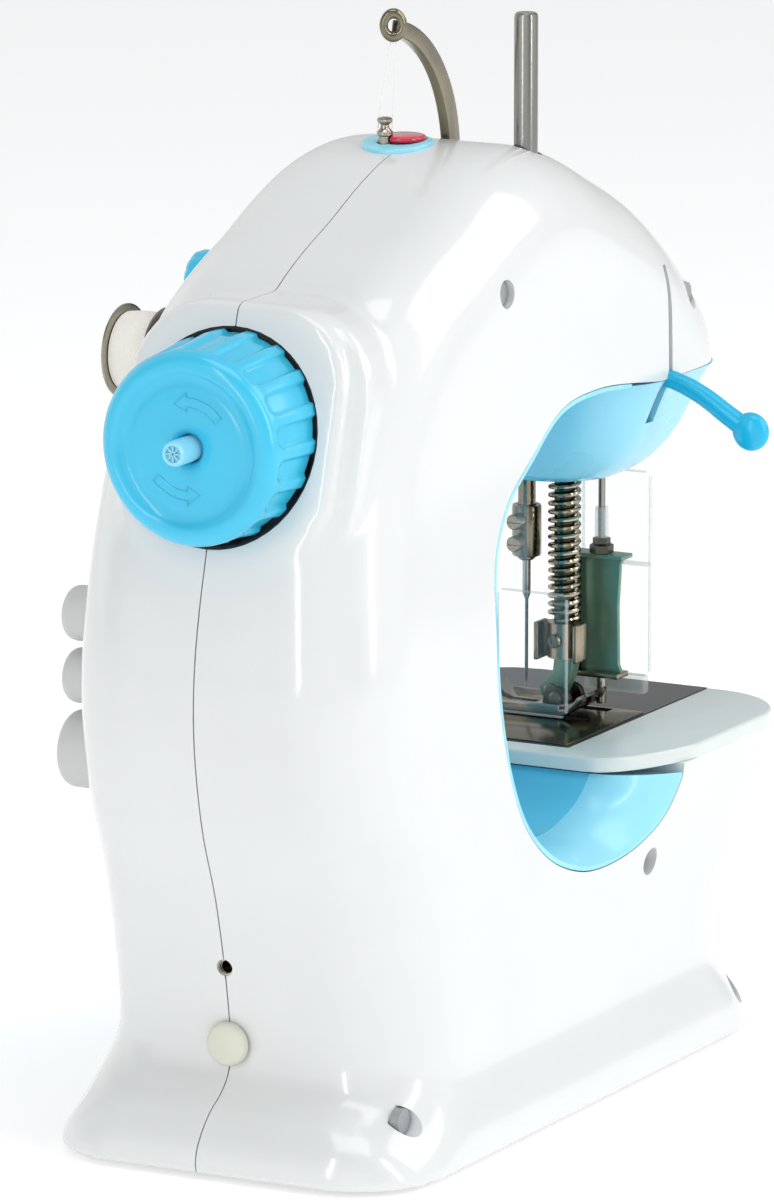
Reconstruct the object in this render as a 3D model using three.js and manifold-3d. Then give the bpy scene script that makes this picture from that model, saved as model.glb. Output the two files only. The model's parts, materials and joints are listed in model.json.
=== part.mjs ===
// Mini electric sewing machine with a C-shaped body, in millimetres, +Z up.
// X runs along the machine: the handwheel is at +X and the needle is at -X.
// The operator sits at -Y. The two body shells meet in a seam plane, and every
// piece is placed from that plane and from the table top at z = 0.

import * as THREE from 'three';
import { mergeVertices } from 'three/addons/utils/BufferGeometryUtils.js';
import Module from 'manifold-3d';

const wasm = await Module();
wasm.setup();

// ---------------------------------------------------------------- sizes

const SEAM_Y = -5;            // the seam plane, seen from the middle of the base
const MACHINE_X = -2.5;       // shifts the machine so that its length is centred
const GAP = 0.3;              // air between two pieces that touch
const WALL = 2.4;             // thickness of the body shells
const EDGE = 20;              // rounding between the outline and the two sides
const BASE_Z = 1;             // underside of the base, one foot height up

const BED_Z = 72;             // top of the bed
const BED_SEAT = 68.8;        // flat of the shells that carries the bed cover
const BED_EDGE = -20;         // where the bed stops before the valley
const WHEEL_Z = 157.1;        // axis of the handwheel
const WELL_R = 22.7;          // the round well that the handwheel sits in
const WELL_FLOOR = 71;
const FACE_X = 81.4;          // tilted collar face, on the handwheel's axis
const FACE_TILT = 0.282;      // how far the face leans back for each mm up

const ARM_SHAFT_Z = 178;
const LOWER_SHAFT_Z = 31;
const NEEDLE_X = -58.4;
const BAR_Y = 9.4;            // presser bar, behind the needle bar
const HOOK = [-60, -15];      // upright axis of the rotary hook
const LEVER_X = -56.5;        // presser lifter, in its slot
const TAKE_UP = { x: 5, z: 200.5, r: 32.5, y: -3 };
const SPOOL = [-18.4, 20];
const SPOOL_TOP = 235.2;
const POST = [1.2, -4];       // thread guide post on the top plate
const TOP_PLATE = [-1.2, -2.2];
const TOP_INSERT = [-2.5, -1.2];
const BOBBIN = [40, 165];     // bobbin spindle on the front, in the side view
const DIAL = [10, 176];
const BUTTONS = [[64, 112.2, 6], [64, 98.6, 6], [64, 82.6, 8.4]];
const BUTTON_FACE = -46.3;
const PEDAL_JACK_Z = 43;
const DC_JACK_Z = 26.2;
const MOTOR_Z = 118;

// ------------------------------------------------------------ materials

function material(color, roughness, metalness = 0, opacity = 1) {
  return new THREE.MeshStandardMaterial({ color, roughness, metalness, opacity, transparent: opacity < 1 });
}

const WHITE = material(0xeef0f2, 0.22);
const BED_WHITE = material(0xe4ece9, 0.3);
const BLUE = material(0x4fc3ee, 0.3);
const GREY = material(0xc9ccd0, 0.45);
const IVORY = material(0xd9dacb, 0.6);
const RED = material(0xd0203a, 0.25);
const STEEL = material(0xb9b9b4, 0.25, 1);
const NICKEL = material(0x8d8a80, 0.2, 1);
const BRONZE = material(0x7a6650, 0.35, 1);
const DARK = material(0x50524f, 0.55, 0.6);
const SAGE = material(0x6b8274, 0.4, 0.7);
const CLEAR = material(0xf2f6f6, 0.08, 0, 0.3);
const THREAD = material(0xf5f3ea, 0.85);
const BLACK = material(0x1d1e20, 0.6);
const NYLON = material(0xe9e6da, 0.5);
const BOARD = material(0x2f7a4b, 0.6);

// -------------------------------------------------------------- solids

function solid(geometry) {
  const bare = geometry.clone();
  bare.deleteAttribute('normal');
  bare.deleteAttribute('uv');
  const merged = mergeVertices(bare, 1e-4);
  const vertProperties = new Float32Array(merged.attributes.position.array);
  const triVerts = new Uint32Array(merged.index.array);
  return new wasm.Manifold(new wasm.Mesh({ numProp: 3, vertProperties, triVerts }));
}

function toGeometry(body) {
  const mesh = body.getMesh();
  const geometry = new THREE.BufferGeometry();
  geometry.setAttribute('position', new THREE.BufferAttribute(mesh.vertProperties, 3));
  geometry.setIndex(new THREE.BufferAttribute(mesh.triVerts, 1));
  geometry.computeVertexNormals();
  return geometry;
}

function join(first, ...others) {
  return others.reduce((sum, other) => sum.add(other), first);
}

function cut(first, ...tools) {
  return tools.reduce((rest, tool) => rest.subtract(tool), first);
}

function box(x0, x1, y0, y1, z0, z1) {
  const geometry = new THREE.BoxGeometry(x1 - x0, y1 - y0, z1 - z0);
  geometry.translate((x0 + x1) / 2, (y0 + y1) / 2, (z0 + z1) / 2);
  return solid(geometry);
}

// A rod along X, Y or Z between two stations; u and v are its other two places.
function rod(axis, from, to, u, v, radius, sides = 20, radiusTo = radius) {
  const geometry = new THREE.CylinderGeometry(radiusTo, radius, to - from, sides);
  geometry.translate(0, (from + to) / 2, 0);
  if (axis === 'x') {
    geometry.rotateZ(-Math.PI / 2);
    geometry.translate(0, u, v);
  } else if (axis === 'y') {
    geometry.translate(u, 0, v);
  } else {
    geometry.rotateX(Math.PI / 2);
    geometry.translate(u, v, 0);
  }
  return solid(geometry);
}

// A turned piece: profile points are [radius, station] and close on the axis.
function turned(axis, profile, u, v, sides = 28) {
  const points = profile.map(([r, s]) => new THREE.Vector2(r, s));
  const geometry = new THREE.LatheGeometry(points, sides);
  if (axis === 'x') {
    geometry.rotateZ(-Math.PI / 2);
    geometry.translate(0, u, v);
  } else if (axis === 'y') {
    geometry.translate(u, 0, v);
  } else {
    geometry.rotateX(Math.PI / 2);
    geometry.translate(u, v, 0);
  }
  return solid(geometry);
}

// Plates cut from an outline: the outline is [x, z], [y, z] or [x, y].
function plate(axis, outline, from, to) {
  const shape = new THREE.Shape(outline.map(([a, b]) => new THREE.Vector2(a, b)));
  const geometry = new THREE.ExtrudeGeometry(shape, { depth: to - from, bevelEnabled: false, steps: 1 });
  if (axis === 'y') {
    geometry.rotateX(Math.PI / 2);
    geometry.translate(0, to, 0);
  } else if (axis === 'x') {
    geometry.applyMatrix4(new THREE.Matrix4().set(0, 0, 1, from, 1, 0, 0, 0, 0, 1, 0, 0, 0, 0, 0, 1));
  } else {
    geometry.translate(0, 0, from);
  }
  return solid(geometry);
}

function tube(points, radius, sides = 8, steps = 24) {
  const curve = new THREE.CatmullRomCurve3(points.map((p) => new THREE.Vector3(...p)));
  const circle = new THREE.Shape();
  circle.absarc(0, 0, radius, 0, 2 * Math.PI);
  const geometry = new THREE.ExtrudeGeometry(circle, {
    steps, extrudePath: curve, curveSegments: sides, bevelEnabled: false,
  });
  return solid(geometry);
}

// A rectangle with round corners, as outline points.
function roundedRectangle(a0, a1, b0, b1, radius, steps = 5) {
  const points = [];
  const corners = [[a1, b0, -90], [a1, b1, 0], [a0, b1, 90], [a0, b0, 180]];
  for (const [a, b, start] of corners) {
    const ca = a === a1 ? a - radius : a + radius;
    const cb = b === b1 ? b - radius : b + radius;
    for (let i = 0; i <= steps; i += 1) {
      const t = THREE.MathUtils.degToRad(start + (90 * i) / steps);
      points.push([ca + radius * Math.cos(t), cb + radius * Math.sin(t)]);
    }
  }
  return points;
}

function ringPoints(count, pointAt) {
  return Array.from({ length: count }, (_, i) => pointAt((2 * Math.PI * i) / count, i));
}

function spline(points, count, closed = false) {
  const path = points.map(([a, b]) => new THREE.Vector3(a, b, 0));
  const curve = new THREE.CatmullRomCurve3(path, closed, 'centripetal');
  return curve.getSpacedPoints(count).map((p) => [p.x, p.y]);
}

// A value read from a short list of [place, value], eased between the entries.
function along(list, place) {
  if (place <= list[0][0]) return list[0][1];
  for (let i = 1; i < list.length; i += 1) {
    const [a, va] = list[i - 1];
    const [b, vb] = list[i];
    if (place <= b) return va + (vb - va) * THREE.MathUtils.smoothstep(place, a, b);
  }
  return list[list.length - 1][1];
}

// ---------------------------------------------------------- body shape

// Side view of the whole body: up the handwheel end, over the arm, down the
// head, and down the far end of the bed and base.
const OUTLINE = [
  [94, BASE_Z], [93.4, 6], [88, 12.7], [81.2, 17], [78.3, 22], [79.2, 34.4], [84.4, 58],
  [90.3, 75], [93.7, 95], [93, 112], [87.5, 135], [79, 156], [69, 173], [57.5, 184.5],
  [46.9, 190.3], [33.5, 195.8], [20, 201.8], [6.4, 206.2], [-8, 207.6], [-22, 205.2],
  [-39, 198.4], [-55, 191], [-69, 182], [-79, 173.4], [-87, 165.4], [-91.3, 157],
  [-92.5, 145], [-94, 110], [-96.6, 80], [-97, 70], [-96.2, 60], [-93.5, 49],
  [-88.5, 41], [-82, 33], [-79.2, 26], [-79.6, 19.5], [-84, 12.5], [-89.2, 6], [-90, BASE_Z],
];
const REAR_BED = [[6, 48], [28, 43.8], [42, 44.3], [70, 49.5], [96, 42], [150, 36.4], [180, 36]];
const REAR_COLUMN = [[6, 48], [28, 43.8], [60, 43.4], [105, 41], [150, 36.4], [180, 36]];
const FRONT = [[6, 41], [28, 35.2], [180, 35.5]];

function offsetOutline(inset) {
  const path = spline(OUTLINE, 150);
  return path.map(([x, z], i) => {
    const [xa, za] = path[Math.max(i - 1, 0)];
    const [xb, zb] = path[Math.min(i + 1, path.length - 1)];
    const length = Math.hypot(xb - xa, zb - za);
    return [x - (inset * (zb - za)) / length, z + (inset * (xb - xa)) / length];
  });
}

function spanAt(path, z) {
  const crossings = [];
  for (let i = 1; i < path.length; i += 1) {
    const [xa, za] = path[i - 1];
    const [xb, zb] = path[i];
    if ((za - z) * (zb - z) <= 0 && za !== zb) crossings.push(xa + ((xb - xa) * (z - za)) / (zb - za));
  }
  return [Math.min(...crossings), Math.max(...crossings)];
}

function distanceTo(path, x, z) {
  let best = Infinity;
  for (let i = 1; i < path.length; i += 1) {
    const [xa, za] = path[i - 1];
    const [xb, zb] = path[i];
    const length = (xb - xa) ** 2 + (zb - za) ** 2;
    const t = THREE.MathUtils.clamp(((x - xa) * (xb - xa) + (z - za) * (zb - za)) / length, 0, 1);
    best = Math.min(best, Math.hypot(x - xa - t * (xb - xa), z - za - t * (zb - za)));
  }
  return best;
}

function rearDepth(x, z) {
  const blend = THREE.MathUtils.smoothstep(x, -30, 40);
  return THREE.MathUtils.lerp(along(REAR_BED, z), along(REAR_COLUMN, z), blend);
}

function rounded(depth, distance, radius) {
  const inside = Math.max(radius - distance, 0);
  return depth - radius + Math.sqrt(Math.max(radius ** 2 - inside ** 2, 0));
}

// One horizontal slice of the body, as a ring of points.
function bodySection(path, z, inset, corner, middle) {
  const [left, right] = spanAt(path, z);
  const radius = EDGE - inset;
  const reach = Math.min(radius * 1.15, (right - left) * 0.44);
  const stations = [];
  for (let i = 0; i <= corner; i += 1) {
    stations.push(right - reach * (1 - Math.cos((i * Math.PI) / 2 / corner)));
  }
  for (let i = 1; i < middle; i += 1) {
    stations.push(THREE.MathUtils.lerp(right - reach, left + reach, i / middle));
  }
  for (let i = corner; i >= 0; i -= 1) stations.push(left + reach * (1 - Math.cos((i * Math.PI) / 2 / corner)));
  const ring = [];
  stations.forEach((x, i) => {
    const end = i === 0 || i === stations.length - 1;
    const depth = end ? 0 : distanceTo(path, x, z);
    ring.push([x, rounded(rearDepth(x, z) - inset, depth, radius), z]);
  });
  stations.reverse().forEach((x, i) => {
    const end = i === 0 || i === stations.length - 1;
    const depth = end ? 0 : distanceTo(path, x, z);
    ring.push([x, -rounded(along(FRONT, z) - inset, depth, radius), z]);
  });
  return ring;
}

// The faces between each ring and the next one.
function wallFaces(rings) {
  const count = rings[0].length;
  const index = [];
  for (let j = 1; j < rings.length; j += 1) {
    for (let i = 0; i < count; i += 1) {
      const a = (j - 1) * count + i;
      const b = (j - 1) * count + ((i + 1) % count);
      index.push(a, b, b + count, a, b + count, a + count);
    }
  }
  return index;
}

// A closed skin over a stack of rings that all have the same number of points.
function loft(rings) {
  const count = rings[0].length;
  const positions = rings.flat(2);
  const index = wallFaces(rings);
  const last = (rings.length - 1) * count;
  for (let i = 1; i < count / 2; i += 1) {
    const far = count - 1 - i;
    const near = count - i;
    index.push(i - 1, near, far, i - 1, far, i);
    index.push(last + i - 1, last + far, last + near, last + i - 1, last + i, last + far);
  }
  const geometry = new THREE.BufferGeometry();
  geometry.setAttribute('position', new THREE.Float32BufferAttribute(positions, 3));
  geometry.setIndex(volumeOf(positions, index) < 0 ? index.reverse() : index);
  return geometry;
}

function volumeOf(positions, index) {
  const at = (i) => new THREE.Vector3(...positions.slice(3 * i, 3 * i + 3));
  let volume = 0;
  for (let i = 0; i < index.length; i += 3) {
    volume += at(index[i]).dot(at(index[i + 1]).cross(at(index[i + 2]))) / 6;
  }
  return volume;
}

function bodyLoft(inset, corner = 4, middle = 4, skirt = 0) {
  const path = offsetOutline(inset);
  const top = Math.max(...path.map(([, z]) => z));
  const levels = [BASE_Z, 7, 12, 17, 23, 32, 42, 52, 61, 70, 86, 104, 122, 140, 154, 166, 176];
  for (const below of [23, 16, 11, 7, 4, 1.8, 0.4]) levels.push(top - below);
  const rings = levels.map((z) => bodySection(path, Math.max(z, path[0][1] + 0.001), inset, corner, middle));
  if (skirt > 0) rings.unshift(rings[0].map(([x, y, z]) => [x, y, z - skirt]));
  return solid(loft(rings));
}

// Opening of the throat in the side view. It runs out past the needle end.
const THROAT = [
  [-52, 150.5], [-22, 153.8], [-4, 152.2], [10, 144.5], [24, 136], [32.5, 125], [35, 110],
  [34, 92], [31.5, 77], [27, 67], [17, 58], [2, 52.2], [-11, 51.3], [-24, 53.4], [-33, 58], [-38, 66],
];
const LINER = [
  [-52, 148.9], [-22, 150.4], [-6, 148.6], [8, 141.2], [20.6, 133], [28.6, 123.4], [31, 110],
  [30, 92], [27.6, 78], [23, 67.5], [15, 61.6], [5, 58.6], [-4, 58.2], [-11, 60.2], [-17, 63.6], [-21, 68.3],
];

function awayFromCentre([x, z], grow) {
  const centre = [-4, 102];
  const length = Math.hypot(x - centre[0], z - centre[1]);
  return [x + ((x - centre[0]) * grow) / length, z + ((z - centre[1]) * grow) / length];
}

function throatTunnel(grow, from = -70, to = 70) {
  const outline = spline(THROAT, 32).map((point) => awayFromCentre(point, grow));
  const seat = BED_SEAT - grow;
  outline.push([outline[outline.length - 1][0], seat], [-130, seat], [-130, outline[0][1]]);
  return plate('y', outline, from, to);
}

function collar() {
  const block = plate('x', roundedRectangle(-29, 29, 131, 184, 15), 52, 100);
  const cutter = new THREE.BoxGeometry(40, 90, 90);
  cutter.translate(20, 0, 0);
  cutter.rotateY(-Math.atan(FACE_TILT));
  cutter.translate(FACE_X, 0, WHEEL_Z);
  return cut(block, solid(cutter));
}

// Screw holes in the rear shell: place on the side view, and seat of the head.
const SCREWS = [[20.8, 181, 32], [-30.5, 47.8, 37], [76, 13.5, 38], [-72, 166.5, 30], [-74, 9.5, 38]];

function bodyShells() {
  const well = rod('x', WELL_FLOOR, 120, 0, WHEEL_Z, WELL_R, 48);
  const wellWall = rod('x', WELL_FLOOR - WALL, 120, 0, WHEEL_Z, WELL_R + 2, 32);
  const outside = cut(join(bodyLoft(0, 5, 6), collar()), well, throatTunnel(0));
  const cavity = cut(bodyLoft(WALL, 4, 4, 6), wellWall, throatTunnel(WALL));
  const bosses = SCREWS.map(([x, z]) => rod('y', 4, 60, x, z, 4.4, 14));
  const sockets = SCREWS.map(([x, z, seat]) => rod('y', seat, 60, x, z, 3.1, 16));
  const bores = SCREWS.map(([x, z]) => rod('y', -1, 60, x, z, 1.6, 12));
  const openings = [
    rod('x', 60, 75, 0, WHEEL_Z, 3.6, 20),
    box(-32, -22.5, TAKE_UP.y - 1.6, TAKE_UP.y + 1.6, 196, 212),
    rod('z', 190, 215, ...SPOOL, 3.6, 18),
    rod('z', 195, 215, ...POST, 1.8, 12),
    box(LEVER_X - 1.6, LEVER_X + 1.6, 20, 40, 140, 176),
    rod('x', 70, 95, 0, PEDAL_JACK_Z, 2.4, 16),
    rod('x', 68, 95, 0, DC_JACK_Z, 4.2, 20),
    ...BUTTONS.map(([x, z, r]) => rod('y', -50, -25, x, z, r + 0.3, 20)),
    rod('y', -50, -25, ...BOBBIN, 2.3, 14),
    rod('y', -50, -25, ...DIAL, 2.4, 16),
    box(-78, -40, -29, 22, 60, 75),
    box(-84, -46, -22, 26, 148, 156),
  ];
  const hollow = cut(outside, cut(cavity, ...bosses), ...openings);
  const front = hollow.intersect(box(-130, 130, -80, -GAP / 2, -10, 240));
  const rear = cut(hollow.intersect(box(-130, 130, GAP / 2, 80, -10, 240)), ...sockets, ...bores);
  return { front, rear };
}

// The blue lining of the throat: flush with both faces of the body, it flares
// out towards them, and below the bed it is the valley beside the needle area.
function throatLiner() {
  const outer = spline(THROAT, 28).map((point) => awayFromCentre(point, -GAP));
  const inner = spline(LINER, 28);
  const flares = [[0, 1], [0.06, 0.4], [0.14, 0], [0.86, 0], [0.94, 0.4], [1, 1]];
  const rings = flares.map(([place, flare]) => {
    const side = ([x, z]) => THREE.MathUtils.lerp(-along(FRONT, z) + 0.3, rearDepth(x, z) - 0.3, place);
    const lip = outer.map((point, i) => {
      const edge = awayFromCentre(point, -1.1);
      return edge.map((value, k) => THREE.MathUtils.lerp(inner[i][k], value, flare));
    });
    const ring = [...outer, ...lip.reverse()];
    return ring.map((point) => [point[0], side(point), point[1]]);
  });
  return solid(loft(rings)).intersect(box(-37.6, 60, -70, 70, 40, 170));
}

function bedOutline() {
  return [
    [-130, -60], [BED_EDGE, -60], [BED_EDGE, 34], [BED_EDGE - 3, 40], [BED_EDGE - 9, 44.5],
    [BED_EDGE - 17, 47.5], [BED_EDGE - 17, 60], [-130, 60],
  ];
}

function bedPieces() {
  const slab = bodyLoft(0, 5, 6).intersect(plate('z', bedOutline(), BED_SEAT + GAP, BED_Z));
  const plateSeat = box(-130, -27, -31, 26.5, BED_Z - 1.2, BED_Z + 2);
  const mouth = box(-76, -46, -60, -7, BED_Z - 1.2, BED_Z + 2);
  const through = box(-77.5, -41, -28.5, 21.5, 60, 75);
  const cover = cut(slab, plateSeat, mouth, through);
  const metal = bodyLoft(0.3, 5, 6).intersect(box(-130, -27.3, -30.7, 26.2, BED_Z - 0.9, BED_Z + 0.1));
  const slots = [-64, -52.8].map((x) => box(x - 1.4, x + 1.4, -3, 18, 60, 80));
  const needleHole = rod('z', 60, 80, NEEDLE_X, 0, 1.3, 12);
  const window = box(-76.3, -45.7, -40, -6.7, 60, 80);
  return { cover, metal: cut(metal, ...slots, needleHole, window) };
}

// The blue bowl that closes the head from below, with a flange at its rim.
function chinCover() {
  const bowl = (inset, drop) => {
    const levels = [[126 + drop, 0.66], [127.2 + drop, 0.8], [130, 0.89], [136, 0.96], [144, 1], [156, 1.02]];
    const rings = levels.map(([z, scale]) => {
      const outline = roundedRectangle(-25 + inset, 25 - inset, -30 + inset, 30 - inset, 14 - inset, 6);
      return outline.map(([x, y]) => [-64 + x * scale, y * scale, z]);
    });
    return capped(rings);
  };
  const flange = bodyLoft(0.8, 5, 6).intersect(box(-120, -38, -60, 60, 148.4, 156));
  const holes = [
    box(NEEDLE_X - 4.6, NEEDLE_X + 4.6, -5, 15, 120, 140),
    rod('z', 120, 140, -70, 14, 2, 14),
    box(LEVER_X - 2.2, LEVER_X + 2.2, 20, 45, 142, 156),
    bowl(1.6, 1.6),
  ];
  const shape = join(bowl(0, 0), flange).intersect(throatTunnel(-GAP));
  return cut(shape.intersect(box(-120, -38, -60, 60, 100, 160)), ...holes);
}

// A skin over stacked rings that are convex, each closed by a fan at the ends.
function capped(rings) {
  const count = rings[0].length;
  const positions = rings.flat(2);
  const index = wallFaces(rings);
  const last = (rings.length - 1) * count;
  for (let i = 1; i < count - 1; i += 1) {
    index.push(0, i + 1, i, last, last + i, last + i + 1);
  }
  const geometry = new THREE.BufferGeometry();
  geometry.setAttribute('position', new THREE.Float32BufferAttribute(positions, 3));
  geometry.setIndex(index);
  return solid(geometry);
}

// --------------------------------------------------------------- pieces

const machine = new THREE.Group();
machine.position.set(MACHINE_X, SEAM_Y, 0);

function add(name, body, look) {
  const mesh = new THREE.Mesh(body.isBufferGeometry ? body : toGeometry(body), look);
  mesh.name = name;
  machine.add(mesh);
}

function addBody() {
  const { front, rear } = bodyShells();
  const { cover, metal } = bedPieces();
  add('front_shell', front, WHITE);
  add('rear_shell', rear, WHITE);
  add('throat_liner', throatLiner(), BLUE);
  add('bed_cover', cover, BED_WHITE);
  add('bed_plate', metal, DARK);
  add('chin_cover', chinCover(), BLUE);
  SCREWS.forEach(([x, z, seat], i) => {
    const [under, top] = [seat + GAP, seat + 2.4];
    const profile = [[0, 10], [1.2, 10], [1.2, under], [2.7, under], [2.7, top], [0, top]];
    add(`screw_${i + 1}`, turned('y', profile, x, z, 12), STEEL);
  });
}

function addBase() {
  const feet = [[-70, -27], [-70, 32], [74, -27], [74, 32]];
  const footHoles = feet.map(([x, y]) => rod('z', -2, 6, x, y, 5.3, 12));
  const slab = bodyLoft(WALL + GAP, 4, 4, 6).intersect(box(-120, 120, -60, 60, BASE_Z + 0.2, BASE_Z + 2.4));
  const doorSlot = box(-30, 60, -20, 20, BASE_Z - 1, BASE_Z + 1.5);
  const bay = box(-30, 40, -17, 17, BASE_Z - 1, BASE_Z + 5);
  const tray = cut(box(-32, 42, -19, 19, BASE_Z + 2, 21), box(-30, 40, -17, 17, BASE_Z, 19));
  add('base_plate', cut(join(slab, tray), doorSlot, bay, ...footHoles), WHITE);
  const grip = [-24, -21, -18].map((x) => box(x, x + 1, -8, 8, BASE_Z - 1, BASE_Z + 0.7));
  add('battery_door', cut(box(-29.7, 43.7, -19.7, 19.7, BASE_Z + 0.2, BASE_Z + 1.2), ...grip), WHITE);
  feet.forEach(([x, y], i) => {
    add(`foot_${i + 1}`, turned('z', [[0, 0], [5, 0], [5, 3.2], [0, 3.2]], x, y, 16), IVORY);
  });
}

function addTop() {
  const oval = ([x, y], rx, ry, from, to) => {
    const outline = ringPoints(32, (t) => [x + rx * Math.cos(t), y + ry * Math.sin(t)]);
    return plate('z', outline, from, to);
  };
  const skin = bodyLoft(-GAP, 5, 6);
  const insert = oval(TOP_INSERT, 4.7, 4.7, 208.4, 209.6);
  const slab = cut(oval(TOP_PLATE, 7.5, 7.9, 200, 208.9), skin, oval(TOP_INSERT, 5, 5, 208.1, 212));
  const postHole = rod('z', 195, 215, ...POST, 1.8, 12);
  add('top_plate', cut(slab, postHole), BLUE);
  add('top_insert', cut(insert, rod('z', 195, 215, ...POST, 1.8, 12)), RED);
  const post = [
    [0, 203.6], [1.4, 203.6], [1.4, 210.6], [1, 211.2], [1, 212], [1.7, 212.5], [1.5, 213.2], [0, 213.4],
  ];
  add('thread_post', turned('z', post, ...POST, 16), NICKEL);
  const sleeve = [[2.9, 196], [4.6, 196], [4.6, 198], [3.3, 198], [3.3, 201.2], [2.9, 201.2], [2.9, 196]];
  add('spool_sleeve', turned('z', sleeve, ...SPOOL, 20), STEEL);
  const pin = [[0, 192], [2.6, 192], [2.6, SPOOL_TOP - 0.8], [2, SPOOL_TOP], [0, SPOOL_TOP]];
  add('spool_pin', turned('z', pin, ...SPOOL, 16), STEEL);
  add('take_up_lever', takeUpLever(), STEEL);
}

// The lever is an arc about its own pivot, so it slides through one small slot.
function takeUpLever() {
  const { x, z, r, y } = TAKE_UP;
  const at = (degrees, radius) => {
    const t = THREE.MathUtils.degToRad(degrees);
    return [x + radius * Math.cos(t), z + radius * Math.sin(t)];
  };
  const stations = Array.from({ length: 13 }, (_, i) => 196 - i * 7.8);
  const outer = stations.map((d) => at(d, r + 1.5));
  const inner = stations.map((d) => at(d, r - 1.5)).reverse();
  const arc = plate('y', [...outer, ...inner], y - 0.8, y + 0.8);
  const spoke = plate('y', [at(196, r), at(189, r), at(150, 2.4), at(236, 2.4)], y - 0.8, y + 0.8);
  const eye = at(100.5, r);
  const ring = rod('y', y - 0.8, y + 0.8, ...eye, 3, 16);
  const hub = rod('y', y - 0.8, y + 0.8, x, z, 2.4, 16);
  return cut(join(arc, spoke, ring, hub), rod('y', -10, 10, ...eye, 1.3, 12), rod('y', -10, 10, x, z, 1, 10));
}

function addHandwheel() {
  const profile = [
    [0, 74], [20.9, 74], [20.9, 94.6], [19.6, 97.3], [17.6, 97.8],
    [15.4, 95.4], [13, 95.2], [11, 96.3], [0, 96.3],
  ];
  const scallops = ringPoints(18, (t) => {
    return rod('x', 77, 100, 22.3 * Math.cos(t), WHEEL_Z + 22.3 * Math.sin(t), 2.6, 8);
  });
  const bore = rod('x', 70, 100, 0, WHEEL_Z, 3.1, 18);
  add('handwheel', cut(turned('x', profile, 0, WHEEL_Z, 36), bore, ...scallops), BLUE);
  const spindle = [
    [0, 33], [2, 33], [2, 73], [2.8, 73], [2.8, 101.6], [2.3, 102.3], [1.6, 102.3], [1.4, 101.2], [0, 101.2],
  ];
  const transfer = gear('x', 34, 39, 0, WHEEL_Z, 10.2, 12, 1);
  add('wheel_spindle', join(turned('x', spindle, 0, WHEEL_Z, 16), transfer), BLUE);
}

function gear(axis, from, to, u, v, radius, teeth, bore) {
  const outline = ringPoints(teeth * 4, (t, i) => {
    const r = i % 4 < 2 ? radius : radius - 1.2;
    return [u + r * Math.cos(t), v + r * Math.sin(t)];
  });
  return cut(plate(axis, outline, from, to), rod(axis, from - 1, to + 1, u, v, bore, 16));
}

function addDrive() {
  add('drive_gear', gear('x', 43, 47, 0, WHEEL_Z, 28.8, 24, 2.3), NYLON);
  const crankPin = rod('x', -51, -49, 0, ARM_SHAFT_Z + 6, 1.5, 12);
  const disc = join(rod('x', -49.6, -46, 0, ARM_SHAFT_Z, 8.4, 24), crankPin);
  const counterweight = box(-50, -40, -9, -3, ARM_SHAFT_Z - 9, ARM_SHAFT_Z - 2);
  add('arm_shaft', join(
    rod('x', -46.2, 41, 0, ARM_SHAFT_Z, 2, 16),
    gear('x', 34, 39, 0, ARM_SHAFT_Z, 10.2, 12, 1),
    cut(disc, counterweight),
  ), STEEL);
  const can = join(rod('x', 50, 76, 0, MOTOR_Z, 11.5, 20), rod('x', 48.6, 50, 0, MOTOR_Z, 4, 16));
  add('motor', cut(can, rod('x', 40, 56, 0, MOTOR_Z, 1.6, 12)), STEEL);
  const motorShaft = rod('x', 43, 54, 0, MOTOR_Z, 1.2, 12);
  add('motor_pinion', join(gear('x', 43, 47, 0, MOTOR_Z, 9.6, 8, 1), motorShaft), NYLON);
  const web = cut(box(27, 31, -20, 25, 160, 184), rod('x', 20, 40, 0, ARM_SHAFT_Z, 2.3, 16));
  const far = cut(box(-43, -39, -18, 25, 163, 184), rod('x', -50, -30, 0, ARM_SHAFT_Z, 2.3, 16));
  const frame = join(web, far, box(-43, 31, 22, 25, 163, 175));
  const wheelHole = rod('x', 20, 40, 0, WHEEL_Z, 5, 16);
  add('inner_frame', cut(frame, wheelHole), STEEL);
  const upright = [
    [0, 38], [5.6, 38], [5.6, 42], [1.8, 42], [1.8, 138], [5.6, 138], [5.6, 142], [0, 142],
  ];
  add('upright_shaft', turned('z', upright, 60, 20, 16), STEEL);
  const lower = [[0, -64], [1.9, -64], [1.9, 53], [5.8, 53], [5.8, 57], [1.9, 57], [1.9, 60], [0, 60]];
  add('lower_shaft', turned('x', lower, 9, LOWER_SHAFT_Z, 16), STEEL);
  const cup = [
    [0, 38], [2.6, 38], [2.6, 46], [12, 46], [12, 64.5], [10.8, 64.5], [10.8, 48], [0, 48],
  ];
  add('rotary_hook', turned('z', cup, ...HOOK, 22), STEEL);
  add('feed_dog', feedDog(), STEEL);
}

function feedDog() {
  const rows = [-64, -52.8].map((x) => {
    const teeth = Array.from({ length: 7 }, (_, i) => [[0 + i * 2, 71], [1 + i * 2, 71.9]]).flat();
    const outline = [[-0.5, 66], [-0.5, 71], ...teeth, [14, 71], [14.5, 71], [14.5, 66]];
    return plate('x', outline, x - 1, x + 1);
  });
  return join(box(-65, -51.8, 3, 14.5, 64.9, 67), ...rows);
}

function bobbinBody(radius, from, to, flange, bore) {
  return [
    [bore, from], [radius, from], [radius, from + flange],
    [bore + 1.2, from + flange], [bore + 1.2, to - flange],
    [radius, to - flange], [radius, to], [bore, to], [bore, from],
  ];
}

function windings(radius, from, to, core) {
  const middle = (from + to) / 2;
  return [[core, from], [radius, from], [radius + 0.3, middle], [radius, to], [core, to], [core, from]];
}

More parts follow.
